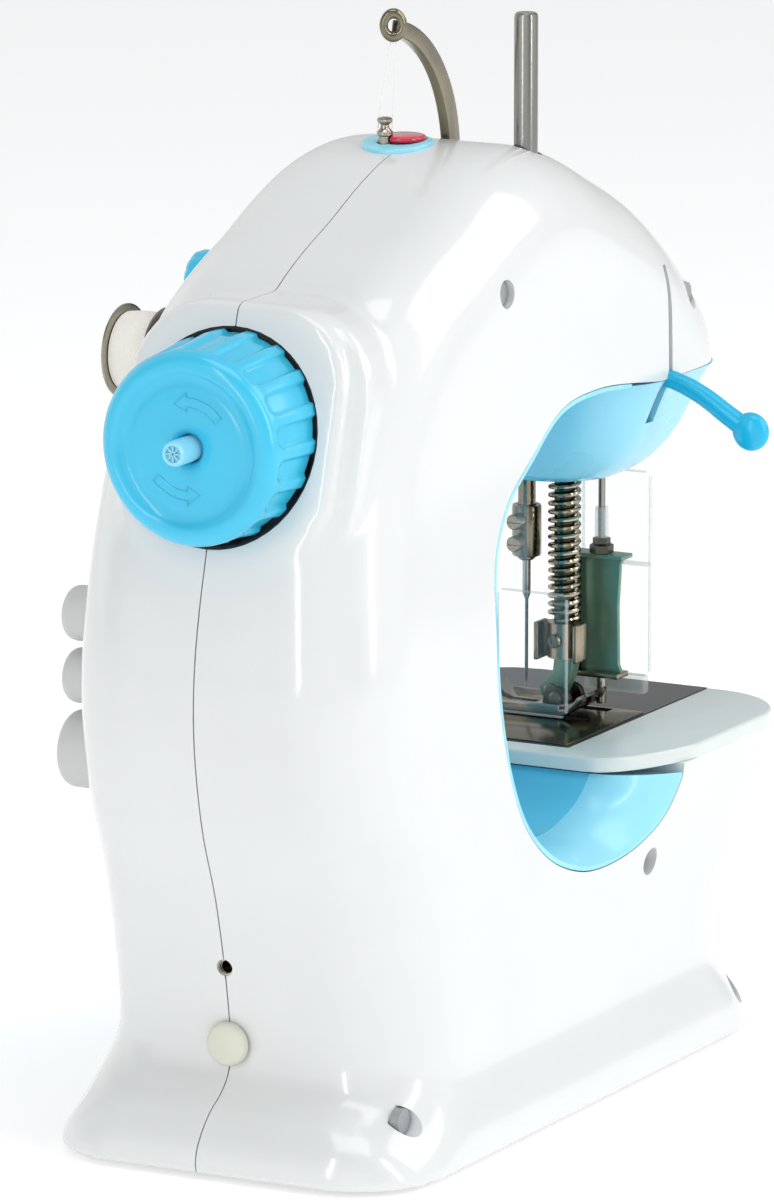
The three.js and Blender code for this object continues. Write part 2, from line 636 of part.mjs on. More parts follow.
function addBobbins() {
  add('bobbin', turned('y', bobbinBody(10.2, -46.8, -36.2, 1, 2.6), ...BOBBIN, 24), NICKEL);
  add('bobbin_thread', turned('y', windings(8.2, -45.5, -37.5, 4.1), ...BOBBIN, 18), THREAD);
  const spindle = [[0, -48.6], [1.6, -48.6], [2, -47.8], [2, -31.4], [3.6, -31.4], [3.6, -29.4], [0, -29.4]];
  add('bobbin_spindle', turned('y', spindle, ...BOBBIN, 12), STEEL);
  add('lower_bobbin', turned('z', bobbinBody(9.8, 52, 62.5, 1, 2.6), ...HOOK, 20), CLEAR);
}

function addFront() {
  const knob = [[0, -46], [5.4, -46], [6.4, -45], [6.6, -40.4], [2.6, -40.4], [2.6, -43], [0, -43]];
  const groove = (t) => rod('y', -47, -40, DIAL[0] + 7 * Math.cos(t), DIAL[1] + 7 * Math.sin(t), 0.9, 6);
  const grooves = ringPoints(12, groove);
  add('tension_dial', cut(turned('y', knob, ...DIAL, 24), ...grooves), BLUE);
  const discs = [[0, -39.8], [6, -39.6], [6, -38.9], [5, -38.4], [6, -37.9], [6, -37.2], [0, -37]];
  add('tension_discs', join(turned('y', discs, ...DIAL, 16), rod('y', -42.6, -28, ...DIAL, 2.1, 16)), NICKEL);
  BUTTONS.forEach(([x, z, r], i) => {
    const profile = [
      [0, BUTTON_FACE], [r * 0.75, BUTTON_FACE + 0.8], [r, BUTTON_FACE + 3], [r, -32], [0, -32],
    ];
    add(['button_low', 'button_high', 'button_power'][i], turned('y', profile, x, z, 20), GREY);
  });
  add('switch_board', box(52, 76, -26, -24.4, 71, 121), BOARD);
}

function addSockets() {
  const nose = [[0, 62], [5, 62], [5, 75], [2.1, 75], [2.1, 80], [1.5, 80], [1.5, 66], [0, 66]];
  add('pedal_jack', turned('x', nose, 0, PEDAL_JACK_Z, 18), NICKEL);
  const barrel = [[0, 61.5], [5, 61.5], [5, 71], [3.4, 71], [3.4, 64], [1, 64], [1, 68], [0, 68]];
  add('dc_jack', turned('x', barrel, 0, DC_JACK_Z, 18), BLACK);
  const cover = [[0, 72], [2.9, 72], [2.9, 79.1], [4.7, 79.5], [4.7, 80.3], [4, 81], [0, 81.3]];
  add('dc_cover', turned('x', cover, 0, DC_JACK_Z, 22), IVORY);
}

function addNeedleEnd() {
  add('needle_bar', join(
    rod('z', 106, 172, NEEDLE_X, 0, 2, 16),
    box(NEEDLE_X - 3, NEEDLE_X + 3.5, -3, 3, 152, 158),
  ), NICKEL);
  const clampScrew = [[0, -56], [1.7, -56], [1.7, -52], [1.2, -51.4], [0, -51.4]];
  const clampBlock = join(
    rod('z', 107, 118.5, NEEDLE_X, 0, 3.3, 20),
    ...[115.5, 110.5].map((z) => turned('x', clampScrew, 0, z, 16)),
  );
  add('needle_clamp', cut(clampBlock, rod('z', 100, 130, NEEDLE_X, 0, 2.3, 16)), DARK);
  const needle = [[0, 78], [0.45, 81], [0.45, 97], [1, 98.5], [1, 105.7], [0, 105.7]];
  add('needle', turned('z', needle, NEEDLE_X, 0, 12), STEEL);
  add('presser_bar', rod('z', 85.5, 168, NEEDLE_X, BAR_Y, 2, 16), STEEL);
  add('presser_spring', spring(), STEEL);
  const holderScrew = [[0, -56], [2.2, -56], [2.2, -51.4], [1.6, -50.6], [0, -50.6]];
  const holder = join(
    rod('z', 84.8, 92.6, NEEDLE_X, BAR_Y, 3.8, 20),
    box(NEEDLE_X - 1.6, NEEDLE_X + 1.6, BAR_Y - 2, BAR_Y + 3, 77.2, 84.9),
    turned('x', holderScrew, BAR_Y, 88.6, 16),
  );
  add('foot_holder', cut(holder, rod('z', 85.2, 100, NEEDLE_X, BAR_Y, 2.3, 16)), BRONZE);
  add('presser_foot', presserFoot(), STEEL);
  add('presser_lifter', presserLifter(), BLUE);
}

function spring() {
  const coils = 10;
  const points = Array.from({ length: coils * 8 + 1 }, (_, i) => {
    const t = (i * Math.PI) / 4;
    return [NEEDLE_X + 3.2 * Math.cos(t), BAR_Y + 3.2 * Math.sin(t), 93.6 + (31 * i) / (coils * 8)];
  });
  return tube(points, 0.5, 2, coils * 8);
}

function presserFoot() {
  const sole = [
    [-9, 76.2], [-6.5, 73.7], [-4, 72.9], [11.2, 72.9], [14.7, 74.4], [16.6, 76.8], [15.8, 77.4], [13.6, 75.4],
    [10.6, 74.1], [-3.8, 74.1], [-6, 74.8], [-8.4, 77.1],
  ];
  const lugs = [-62.4, -56].map((x) => box(x, x + 1.6, 6.4, 12.4, 73.4, 78));
  const pin = rod('x', -62, -54.8, BAR_Y, 76, 0.8, 10);
  const slot = box(NEEDLE_X - 1.3, NEEDLE_X + 1.3, -12, 3, 70, 80);
  return cut(join(plate('x', sole, -65, -51.8), ...lugs, pin), slot);
}

function presserLifter() {
  const arm = tube([
    [LEVER_X, 26, 152], [LEVER_X, 33, 149.6], [LEVER_X, 41, 147.2], [LEVER_X, 49, 143.6], [LEVER_X, 53, 141.4],
  ], 1.25, 4, 8);
  const hub = rod('x', LEVER_X - 1.25, LEVER_X + 1.25, 25, 152.2, 3.6, 14);
  const ball = turned('x', [
    [0, LEVER_X - 2.6], [2.6, LEVER_X - 2.4], [4.2, LEVER_X - 1],
    [4.2, LEVER_X + 1], [2.6, LEVER_X + 2.4], [0, LEVER_X + 2.6],
  ], 56, 140.2, 14);
  return join(cut(hub, rod('x', -60, -50, 25, 152.2, 1.2, 12)), arm, ball);
}

function addGuards() {
  const left = join(box(-72.6, -71.6, 7, 24, 79, 125.7), box(-73.6, -70.6, 8, 23, 75, 79.2));
  add('guard_left', left, CLEAR);
  add('guard_right', join(box(-45.5, -44.5, -0.5, 17, 74, 102), box(-45.5, -44.5, 4, 12, 101.9, 125.7)), CLEAR);
  const sheet = join(
    box(-70.4, -69.4, 8, 20, 77, 107), box(-70.4, -66, 8, 20, 106, 107.2), box(-70.4, -66, 8, 20, 77, 78),
  );
  const rodHole = rod('z', 70, 130, -67.6, 14, 1.3, 12);
  add('edge_bracket', cut(sheet, rodHole), SAGE);
  const guideRod = [[0, 73], [1, 73], [1, 112.4], [2.6, 112.4], [2.6, 126], [0, 126]];
  add('guide_rod', turned('z', guideRod, -67.6, 14, 14), IVORY);
}

addBody();
addBase();
addTop();
addHandwheel();
addDrive();
addBobbins();
addFront();
addSockets();
addNeedleEnd();
addGuards();
add('bobbin_cover', box(-76, -46, -34.6, -7, BED_Z - 0.9, BED_Z + 0.1), CLEAR);

export default machine;
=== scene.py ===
"""Looks of a mini sewing machine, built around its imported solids."""

import json
import logging
import math
from dataclasses import dataclass, field
from enum import Enum
from typing import Callable, Sequence

import bmesh
import bpy
import numpy as np
from mathutils import Matrix, Vector

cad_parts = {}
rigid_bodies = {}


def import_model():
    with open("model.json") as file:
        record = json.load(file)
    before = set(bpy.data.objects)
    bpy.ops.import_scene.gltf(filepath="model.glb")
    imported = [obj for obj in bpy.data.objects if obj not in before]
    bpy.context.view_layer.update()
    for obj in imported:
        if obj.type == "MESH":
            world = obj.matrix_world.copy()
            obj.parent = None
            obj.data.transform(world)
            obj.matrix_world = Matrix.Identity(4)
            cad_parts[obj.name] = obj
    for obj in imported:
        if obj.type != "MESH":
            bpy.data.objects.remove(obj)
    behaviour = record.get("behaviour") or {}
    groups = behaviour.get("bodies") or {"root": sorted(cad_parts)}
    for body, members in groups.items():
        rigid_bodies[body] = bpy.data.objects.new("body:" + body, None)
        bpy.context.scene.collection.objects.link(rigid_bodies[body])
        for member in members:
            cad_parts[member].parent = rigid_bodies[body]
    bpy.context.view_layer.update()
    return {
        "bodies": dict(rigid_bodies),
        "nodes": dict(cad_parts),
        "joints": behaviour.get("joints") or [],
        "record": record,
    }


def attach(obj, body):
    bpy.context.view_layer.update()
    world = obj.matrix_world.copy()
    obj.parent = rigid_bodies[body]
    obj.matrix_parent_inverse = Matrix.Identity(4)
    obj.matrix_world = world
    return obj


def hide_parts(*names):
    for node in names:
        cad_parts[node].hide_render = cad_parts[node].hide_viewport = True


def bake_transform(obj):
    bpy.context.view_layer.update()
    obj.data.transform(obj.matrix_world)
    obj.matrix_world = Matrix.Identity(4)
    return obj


LOG = logging.getLogger("sewing_machine")
MM = 0.001
SHIFT = Vector((-2.5, -5.0, 0.0))
TO_FRAME = Matrix.Scale(MM, 4) @ Matrix.Translation(SHIFT)
BODY = "machine body"

Point2 = tuple[float, float]
Point3 = tuple[float, float, float]


class Axis(Enum):
    """The direction a turned or cut piece runs along."""

    X = "x"
    Y = "y"
    Z = "z"

    def place(self, a: float, b: float, along: float) -> Point3:
        """A point from its two cross places and its station along the axis."""
        if self is Axis.X:
            return (along, a, b)
        if self is Axis.Y:
            return (a, along, b)
        return (a, b, along)


# ------------------------------------------------------------------ finishes


@dataclass(frozen=True)
class Finish:
    """A material: its colour, gloss and fine surface detail.

    Attributes:
        name: name of the material.
        slot: the record's material slot.
        color: linear base colour.
        roughness: gloss of the surface, from 0 for a mirror.
        metallic: 1 for metal.
        coat: strength of a clear lacquer or polished skin.
        grain: pattern size, in patterns for each metre.
        bump: height of the grain, in metres.
        mottle: how far the colour and gloss vary.
        alpha: how solid it looks, from 0 for nothing to 1.
        glow: light scattered below the surface.
        stretch: pattern scale along X, Y and Z.
    """

    name: str
    slot: str
    color: Point3
    roughness: float = 0.3
    metallic: float = 0.0
    coat: float = 0.0
    grain: float = 900.0
    bump: float = 0.00002
    mottle: float = 0.04
    alpha: float = 1.0
    glow: float = 0.0
    stretch: Point3 = (1.0, 1.0, 1.0)

    def build(self) -> bpy.types.Material:
        """Makes the material once and gives it back after that.

        Returns:
            The node material.
        """
        known = bpy.data.materials.get(self.name)
        if known:
            return known
        material = bpy.data.materials.new(self.name)
        material.use_nodes = True
        tree = material.node_tree
        shader = tree.nodes["Principled BSDF"]
        shader.inputs["Metallic"].default_value = self.metallic
        shader.inputs["Coat Weight"].default_value = self.coat
        shader.inputs["Coat Roughness"].default_value = 0.08
        shader.inputs["IOR"].default_value = 1.47
        shader.inputs["Alpha"].default_value = self.alpha
        if self.glow:
            shader.inputs["Subsurface Weight"].default_value = self.glow
            shader.inputs["Subsurface Radius"].default_value = (0.004, 0.004, 0.004)
            shader.inputs["Subsurface Scale"].default_value = 0.5
        self._pattern(tree, shader)
        return material

    def _pattern(self, tree: bpy.types.NodeTree, shader: bpy.types.Node) -> None:
        """Adds the mottle and the fine bump.

        Args:
            tree: node tree of the material.
            shader: its principled shader.
        """
        place = tree.nodes.new("ShaderNodeTexCoord")
        mapping = tree.nodes.new("ShaderNodeMapping")
        mapping.inputs["Scale"].default_value = self.stretch
        tree.links.new(place.outputs["Object"], mapping.inputs["Vector"])
        broad = tree.nodes.new("ShaderNodeTexNoise")
        broad.inputs["Scale"].default_value = self.grain * 0.05
        broad.inputs["Detail"].default_value = 3.0
        fine = tree.nodes.new("ShaderNodeTexNoise")
        fine.inputs["Scale"].default_value = self.grain
        fine.inputs["Detail"].default_value = 2.0
        for noise in (broad, fine):
            tree.links.new(mapping.outputs["Vector"], noise.inputs["Vector"])
        shades = tree.nodes.new("ShaderNodeValToRGB")
        low = [max(c * (1 - self.mottle), 0) for c in self.color]
        high = [min(c * (1 + self.mottle), 1) for c in self.color]
        shades.color_ramp.elements[0].color = (*low, 1)
        shades.color_ramp.elements[0].position = 0.3
        shades.color_ramp.elements[1].color = (*high, 1)
        shades.color_ramp.elements[1].position = 0.7
        tree.links.new(broad.outputs["Fac"], shades.inputs["Fac"])
        tree.links.new(shades.outputs["Color"], shader.inputs["Base Color"])
        gloss = tree.nodes.new("ShaderNodeMapRange")
        gloss.inputs["To Min"].default_value = max(self.roughness * 0.85, 0.02)
        gloss.inputs["To Max"].default_value = self.roughness * 1.15
        tree.links.new(broad.outputs["Fac"], gloss.inputs["Value"])
        tree.links.new(gloss.outputs["Result"], shader.inputs["Roughness"])
        bump = tree.nodes.new("ShaderNodeBump")
        bump.inputs["Strength"].default_value = 0.25
        bump.inputs["Distance"].default_value = self.bump
        tree.links.new(fine.outputs["Fac"], bump.inputs["Height"])
        tree.links.new(bump.outputs["Normal"], shader.inputs["Normal"])


WHITE = Finish("white_gloss", "white_plastic", (0.71, 0.725, 0.72), 0.18, coat=0.6, mottle=0.012)
BED_WHITE = Finish("bed_white_satin", "bed_white", (0.66, 0.71, 0.69), 0.22, coat=0.3, mottle=0.02)
BLUE = Finish("sky_blue", "blue_plastic", (0.045, 0.53, 0.78), 0.24, coat=0.3, glow=0.12)
# A darker copy of the pale sky blue: painted shade on the throat's middle and on the chin's underside.
SHADE_SKY_BLUE = Finish("painted_shade_sky_blue", "blue_plastic", (0.13, 0.56, 0.77), 0.26, coat=0.25, glow=0.15)
PALE_BLUE = Finish("pale_sky_blue", "blue_plastic", (0.29, 0.7, 0.86), 0.28, coat=0.2, glow=0.2)
DEEP_BLUE = Finish("deep_sky_blue", "blue_plastic", (0.003, 0.45, 0.73), 0.28, coat=0.2)
GREY = Finish("button_grey", "grey_plastic", (0.55, 0.56, 0.55), 0.42)
# A dull dark grey for the screws: painted shade, so that their recesses read as shaded holes.
SCREW_SHADE_GREY = Finish("recess_shade_grey", "steel", (0.33, 0.35, 0.37), 0.5, 0.2)
IVORY = Finish("ivory_cap_rubber", "ivory_rubber", (0.66, 0.67, 0.56), 0.62, bump=0.00006)
RED = Finish("red_gloss", "red_plastic", (0.62, 0.015, 0.05), 0.15, coat=0.6)
STEEL = Finish("brushed_steel", "steel", (0.3, 0.3, 0.28), 0.22, 1.0, stretch=(1, 1, 0.05), mottle=0.2)
NICKEL = Finish("polished_nickel", "nickel", (0.4, 0.37, 0.31), 0.14, 1.0, mottle=0.25)
BRONZE = Finish("bronzed_steel", "bronze_steel", (0.3, 0.25, 0.18), 0.22, 1.0, mottle=0.3)
DARK_NICKEL = Finish("dark_nickel", "nickel", (0.2, 0.18, 0.13), 0.17, 1.0, grain=700, mottle=0.35)
SPRING = Finish("spring_steel", "steel", (0.42, 0.37, 0.27), 0.13, 1.0, mottle=0.2)
SHADOW_STEEL = Finish("shadow_steel", "steel", (0.06, 0.06, 0.045), 0.25, 0.9, mottle=0.3)
DARK = Finish("dark_plate", "dark_metal", (0.055, 0.056, 0.055), 0.3, 0.6, stretch=(0.1, 1, 1), mottle=0.15)
SAGE = Finish("sage_enamel", "sage_metal", (0.15, 0.26, 0.19), 0.28, 0.5, mottle=0.2)
CLEAR = Finish("clear_sheet", "clear_plastic", (0.8, 0.83, 0.82), 0.05, mottle=0.01, alpha=0.05)
CLEAR_EDGE = Finish("clear_sheet_edge", "clear_plastic", (0.66, 0.71, 0.7), 0.08, mottle=0.01, alpha=0.3)
THREAD = Finish("white_thread", "thread", (0.86, 0.84, 0.78), 0.85, grain=2500, bump=0.0002)
BLACK = Finish("black_moulding", "black_plastic", (0.008, 0.008, 0.009), 0.55)
NYLON = Finish("nylon_gear", "nylon", (0.78, 0.75, 0.66), 0.5)
BOARD = Finish("switch_board_green", "circuit_board", (0.05, 0.22, 0.09), 0.45)
BY_SLOT = {
    f.slot: f
    for f in (
        WHITE, BED_WHITE, BLUE, GREY, IVORY, RED, STEEL, NICKEL, BRONZE,
        DARK, SAGE, CLEAR, THREAD, BLACK, NYLON, BOARD,
    )
}


# ------------------------------------------------------------------ mesh work


def smooth_path(points: Sequence[Point2], count: int) -> np.ndarray:
    """A rounded path through points, resampled at even distances.

    Args:
        points: the points that the path passes through.
        count: number of steps in the result.

    Returns:
        An array of count + 1 places.
    """
    p = np.array(points, float)
    p = np.vstack([2 * p[0] - p[1], p, 2 * p[-1] - p[-2]])
    dense: list[np.ndarray] = []
    for i in range(1, len(p) - 2):
        a, b, c, d = p[i - 1 : i + 3]
        t0 = 0.0
        t1 = t0 + max(np.linalg.norm(b - a), 1e-6) ** 0.5
        t2 = t1 + max(np.linalg.norm(c - b), 1e-6) ** 0.5
        t3 = t2 + max(np.linalg.norm(d - c), 1e-6) ** 0.5
        for t in np.linspace(t1, t2, 24, endpoint=False):
            ab = (t1 - t) / (t1 - t0) * a + (t - t0) / (t1 - t0) * b
            bc = (t2 - t) / (t2 - t1) * b + (t - t1) / (t2 - t1) * c
            cd = (t3 - t) / (t3 - t2) * c + (t - t2) / (t3 - t2) * d
            abc = (t2 - t) / (t2 - t0) * ab + (t - t0) / (t2 - t0) * bc
            bcd = (t3 - t) / (t3 - t1) * bc + (t - t1) / (t3 - t1) * cd
            dense.append((t2 - t) / (t2 - t1) * abc + (t - t1) / (t2 - t1) * bcd)
    dense.append(p[-2])
    line = np.array(dense)
    run = np.concatenate([[0], np.cumsum(np.linalg.norm(np.diff(line, axis=0), axis=1))])
    even = np.linspace(0, run[-1], count + 1)
    return np.stack([np.interp(even, run, line[:, k]) for k in range(line.shape[1])], axis=1)


def eased(table: Sequence[Point2], place: float) -> float:
    """A value read from a short table, eased between its entries.

    Args:
        table: pairs of place and value, in order.
        place: where to read.

    Returns:
        The value there.
    """
    if place <= table[0][0]:
        return table[0][1]
    for (a, va), (b, vb) in zip(table, table[1:]):
        if place <= b:
            t = (place - a) / (b - a)
            return va + (vb - va) * t * t * (3 - 2 * t)
    return table[-1][1]


def rounded_rectangle(
    a0: float, a1: float, b0: float, b1: float, radius: float, steps: int = 8
) -> list[Point2]:
    """Outline points of a rectangle with round corners.

    Args:
        a0: low side.
        a1: high side.
        b0: low end.
        b1: high end.
        radius: corner radius.
        steps: steps in each corner.

    Returns:
        The points, anticlockwise.
    """
    points: list[Point2] = []
    for a, b, start in ((a1, b0, -90), (a1, b1, 0), (a0, b1, 90), (a0, b0, 180)):
        ca = a - radius if a == a1 else a + radius
        cb = b - radius if b == b1 else b + radius
        for i in range(steps + 1):
            t = math.radians(start + 90 * i / steps)
            points.append((ca + radius * math.cos(t), cb + radius * math.sin(t)))
    return points


def turned(profile: Sequence[Point2], axis: Axis, u: float, v: float, steps: int = 64) -> bmesh.types.BMesh:
    """A turned piece.

    Args:
        profile: pairs of radius and station.
        axis: the axis it is turned about.
        u: first cross place of the axis.
        v: second cross place of the axis.
        steps: steps in the full turn.

    Returns:
        The mesh, closed if its profile is closed or meets the axis.
    """
    bm = bmesh.new()
    verts = [bm.verts.new(axis.place(u + r, v, s)) for r, s in profile]
    edges = [bm.edges.new(pair) for pair in zip(verts, verts[1:])]
    bmesh.ops.spin(
        bm, geom=verts + edges, cent=axis.place(u, v, 0), axis=axis.place(0, 0, 1),
        angle=2 * math.pi, steps=steps, use_merge=True,
    )
    bmesh.ops.remove_doubles(bm, verts=bm.verts, dist=1e-4)
    bmesh.ops.recalc_face_normals(bm, faces=bm.faces)
    return bm


def bore(
    axis: Axis, start: float, end: float, u: float, v: float, radius: float, steps: int = 48
) -> bmesh.types.BMesh:
    """A plain round rod, mostly the tool for a hole.

    Args:
        axis: the direction it runs along.
        start: one end.
        end: the other end.
        u: first cross place.
        v: second cross place.
        radius: its radius.
        steps: steps in the full turn.

    Returns:
        The closed mesh.
    """
    return turned([(0, start), (radius, start), (radius, end), (0, end)], axis, u, v, steps)


def plate(
    outline: Sequence[Point2], axis: Axis, start: float, end: float, round_by: float = 0.0
) -> bmesh.types.BMesh:
    """A plate cut from an outline, with rounded edges.

    Args:
        outline: cross places of its corners.
        axis: the axis it is thick along.
        start: one face.
        end: the other face.
        round_by: radius of its edges.

    Returns:
        The closed mesh.
    """
    bm = bmesh.new()
    face = bm.faces.new([bm.verts.new(axis.place(a, b, start)) for a, b in outline])
    grown = bmesh.ops.extrude_face_region(bm, geom=[face])["geom"]
    moved = [g for g in grown if isinstance(g, bmesh.types.BMVert)]
    bmesh.ops.translate(bm, verts=moved, vec=axis.place(0, 0, end - start))
    bmesh.ops.recalc_face_normals(bm, faces=bm.faces)
    if round_by:
        ends = {start, end}
        along = Vector(axis.place(0, 0, 1))
        rim = [
            e for e in bm.edges
            if abs((e.verts[0].co - e.verts[1].co).dot(along)) < 1e-5
            and any(abs(e.verts[0].co.dot(along) - s) < 1e-4 for s in ends)
        ]
        bmesh.ops.bevel(bm, geom=rim, offset=round_by, segments=3, profile=0.5, affect="EDGES", material=-1)
    return bm


def loft(rings: Sequence[Sequence[Point3]]) -> bmesh.types.BMesh:
    """A skin over a stack of rings, closed at both ends.

    Args:
        rings: rings of places, all with the same number.

    Returns:
        The closed mesh.
    """
    bm = bmesh.new()
    last: list[bmesh.types.BMEdge] = []
    for j, ring in enumerate(rings):
        verts = [bm.verts.new(p) for p in ring]
        edges = [bm.edges.new((verts[i], verts[(i + 1) % len(verts)])) for i in range(len(verts))]
        if j in (0, len(rings) - 1):
            bm.faces.new(verts)
        if last:
            bmesh.ops.bridge_loops(bm, edges=last + edges)
        last = edges
    bmesh.ops.recalc_face_normals(bm, faces=bm.faces)
    return bm


def tube(points: Sequence[Point3], radius: float | Sequence[float], sides: int = 12) -> bmesh.types.BMesh:
    """A round bar along a path.

    Args:
        points: places along its middle.
        radius: one radius, or one for each place.
        sides: sides of its section.

    Returns:
        The closed mesh.
    """
    path = [Vector(p) for p in points]
    sizes = [radius] * len(path) if isinstance(radius, (int, float)) else list(radius)
    rings: list[list[Point3]] = []
    side = Vector((0, 0, 1)).cross(path[1] - path[0])
    side = side.normalized() if side.length > 1e-6 else Vector((1, 0, 0))
    for i, p in enumerate(path):
        ahead = (path[min(i + 1, len(path) - 1)] - path[max(i - 1, 0)]).normalized()
        side = (side - ahead * side.dot(ahead)).normalized()
        up = ahead.cross(side)
        turn = [2 * math.pi * k / sides for k in range(sides)]
        rings.append([tuple(p + sizes[i] * (side * math.cos(t) + up * math.sin(t))) for t in turn])
    return loft(rings)


def block(
    x0: float, x1: float, y0: float, y1: float, z0: float, z1: float, round_by: float = 0.3
) -> bmesh.types.BMesh:
    """A block between two corners with rounded edges.

    Args:
        x0: low X.
        x1: high X.
        y0: low Y.
        y1: high Y.
        z0: low Z.
        z1: high Z.
        round_by: radius of its edges.

    Returns:
        The closed mesh.
    """
    bm = bmesh.new()
    bmesh.ops.create_cube(bm, size=1)
    bmesh.ops.scale(bm, vec=(x1 - x0, y1 - y0, z1 - z0), verts=bm.verts)
    bmesh.ops.translate(bm, vec=((x0 + x1) / 2, (y0 + y1) / 2, (z0 + z1) / 2), verts=bm.verts)
    if round_by:
        bmesh.ops.bevel(
            bm, geom=bm.edges[:], offset=round_by, segments=3, profile=0.5, affect="EDGES", material=-1
        )
    return bm


def merged(*parts: bmesh.types.BMesh) -> bmesh.types.BMesh:
    """Puts several meshes into one.

    Args:
        parts: the meshes, which are used up.

    Returns:
        One mesh that holds them all.
    """
    whole = parts[0]
    for part in parts[1:]:
        spare = bpy.data.meshes.new("spare")
        part.to_mesh(spare)
        whole.from_mesh(spare)
        part.free()
        bpy.data.meshes.remove(spare)
    return whole


def with_modifier(bm: bmesh.types.BMesh, kind: str, **settings: object) -> bmesh.types.BMesh:
    """Applies one modifier to a mesh.

    Args:
        bm: the mesh, which is used up.
        kind: the modifier's type.
        settings: the modifier's own settings.

    Returns:
        The changed mesh.
    """
    mesh = bpy.data.meshes.new("work")
    bm.to_mesh(mesh)
    bm.free()
    holder = bpy.data.objects.new("work", mesh)
    bpy.context.scene.collection.objects.link(holder)
    modifier = holder.modifiers.new(kind.lower(), kind)
    for key, value in settings.items():
        setattr(modifier, key, value)
    graph = bpy.context.evaluated_depsgraph_get()
    result = bmesh.new()
    result.from_object(holder, graph)
    bpy.data.objects.remove(holder)
    bpy.data.meshes.remove(mesh)
    return result


def combined(bm: bmesh.types.BMesh, tool: bmesh.types.BMesh, operation: str) -> bmesh.types.BMesh:
    """Joins two closed meshes, cuts one by the other, or keeps what they share.

    Args:
        bm: the closed mesh, which is used up.
        tool: the other closed mesh, which is used up.
        operation: UNION, DIFFERENCE or INTERSECT.

    Returns:
        The new mesh.
    """
    mesh = bpy.data.meshes.new("tool")
    tool.to_mesh(mesh)
    tool.free()
    other = bpy.data.objects.new("tool", mesh)
    bpy.context.scene.collection.objects.link(other)
    bm = with_modifier(bm, "BOOLEAN", object=other, operation=operation, solver="MANIFOLD")
    bpy.data.objects.remove(other)
    bpy.data.meshes.remove(mesh)
    return bm


def cut(bm: bmesh.types.BMesh, *tools: bmesh.types.BMesh, keep: bool = False) -> bmesh.types.BMesh:
    """Cuts tools out of a mesh, or keeps only what lies inside the one tool.

    Args:
        bm: the closed mesh, which is used up.
        tools: closed meshes, which are used up.
        keep: True to keep what they share.

    Returns:
        The cut mesh.
    """
    for tool in tools:
        bm = combined(bm, tool, "INTERSECT" if keep else "DIFFERENCE")
    return bm


def trim(bm: bmesh.types.BMesh, place: Sequence[float], outward: Sequence[float]) -> None:
    """Takes away what lies beyond a plane and leaves the rim open.

    Args:
        bm: the mesh.
        place: a point on the plane.
        outward: direction of the part that goes.
    """
    geom = bm.verts[:] + bm.edges[:] + bm.faces[:]
    bmesh.ops.bisect_plane(bm, geom=geom, plane_co=place, plane_no=outward, clear_outer=True)


def piece(
    name: str,
    bm: bmesh.types.BMesh,
    finish: Finish,
    body: str = BODY,
    replaces: Sequence[str] = (),
    crease: float = 35.0,
    bend: tuple[Vector, Vector] | None = None,
    second: tuple[Finish, Callable[[Vector], bool]] | None = None,
) -> bpy.types.Object:
    """Turns a mesh in millimetres into a finished piece of the machine.

    Args:
        name: the piece's name.
        bm: its mesh, which is used up.
        finish: its material.
        body: the moving body it rides on.
        replaces: the solids it stands for.
        crease: edges sharper than this many degrees stay crisp.
        bend: for a strand between its body and the machine body, its two ends; only whether it is given is
            used, and then the piece is attached to no body.
        second: another finish, and the places that take it.

    Returns:
        The new object.
    """
    if second:
        for face in bm.faces:
            face.material_index = int(second[1](face.calc_center_median()))
    bmesh.ops.transform(bm, matrix=TO_FRAME, verts=bm.verts)
    limit = math.radians(crease)
    for face in bm.faces:
        face.smooth = True
    for edge in bm.edges:
        edge.smooth = len(edge.link_faces) == 2 and edge.calc_face_angle(0.0) < limit
    mesh = bpy.data.meshes.new(name)
    bm.to_mesh(mesh)
    bm.free()
    obj = bpy.data.objects.new(name, mesh)
    bpy.context.scene.collection.objects.link(obj)
    mesh.materials.append(finish.build())
    if second:
        mesh.materials.append(second[0].build())
    if bend:
        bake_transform(obj)
    else:
        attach(obj, body)
    if replaces:
        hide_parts(*replaces)
    LOG.info("%s: %d faces", name, len(mesh.polygons))
    return obj


# ------------------------------------------------------------------ the body


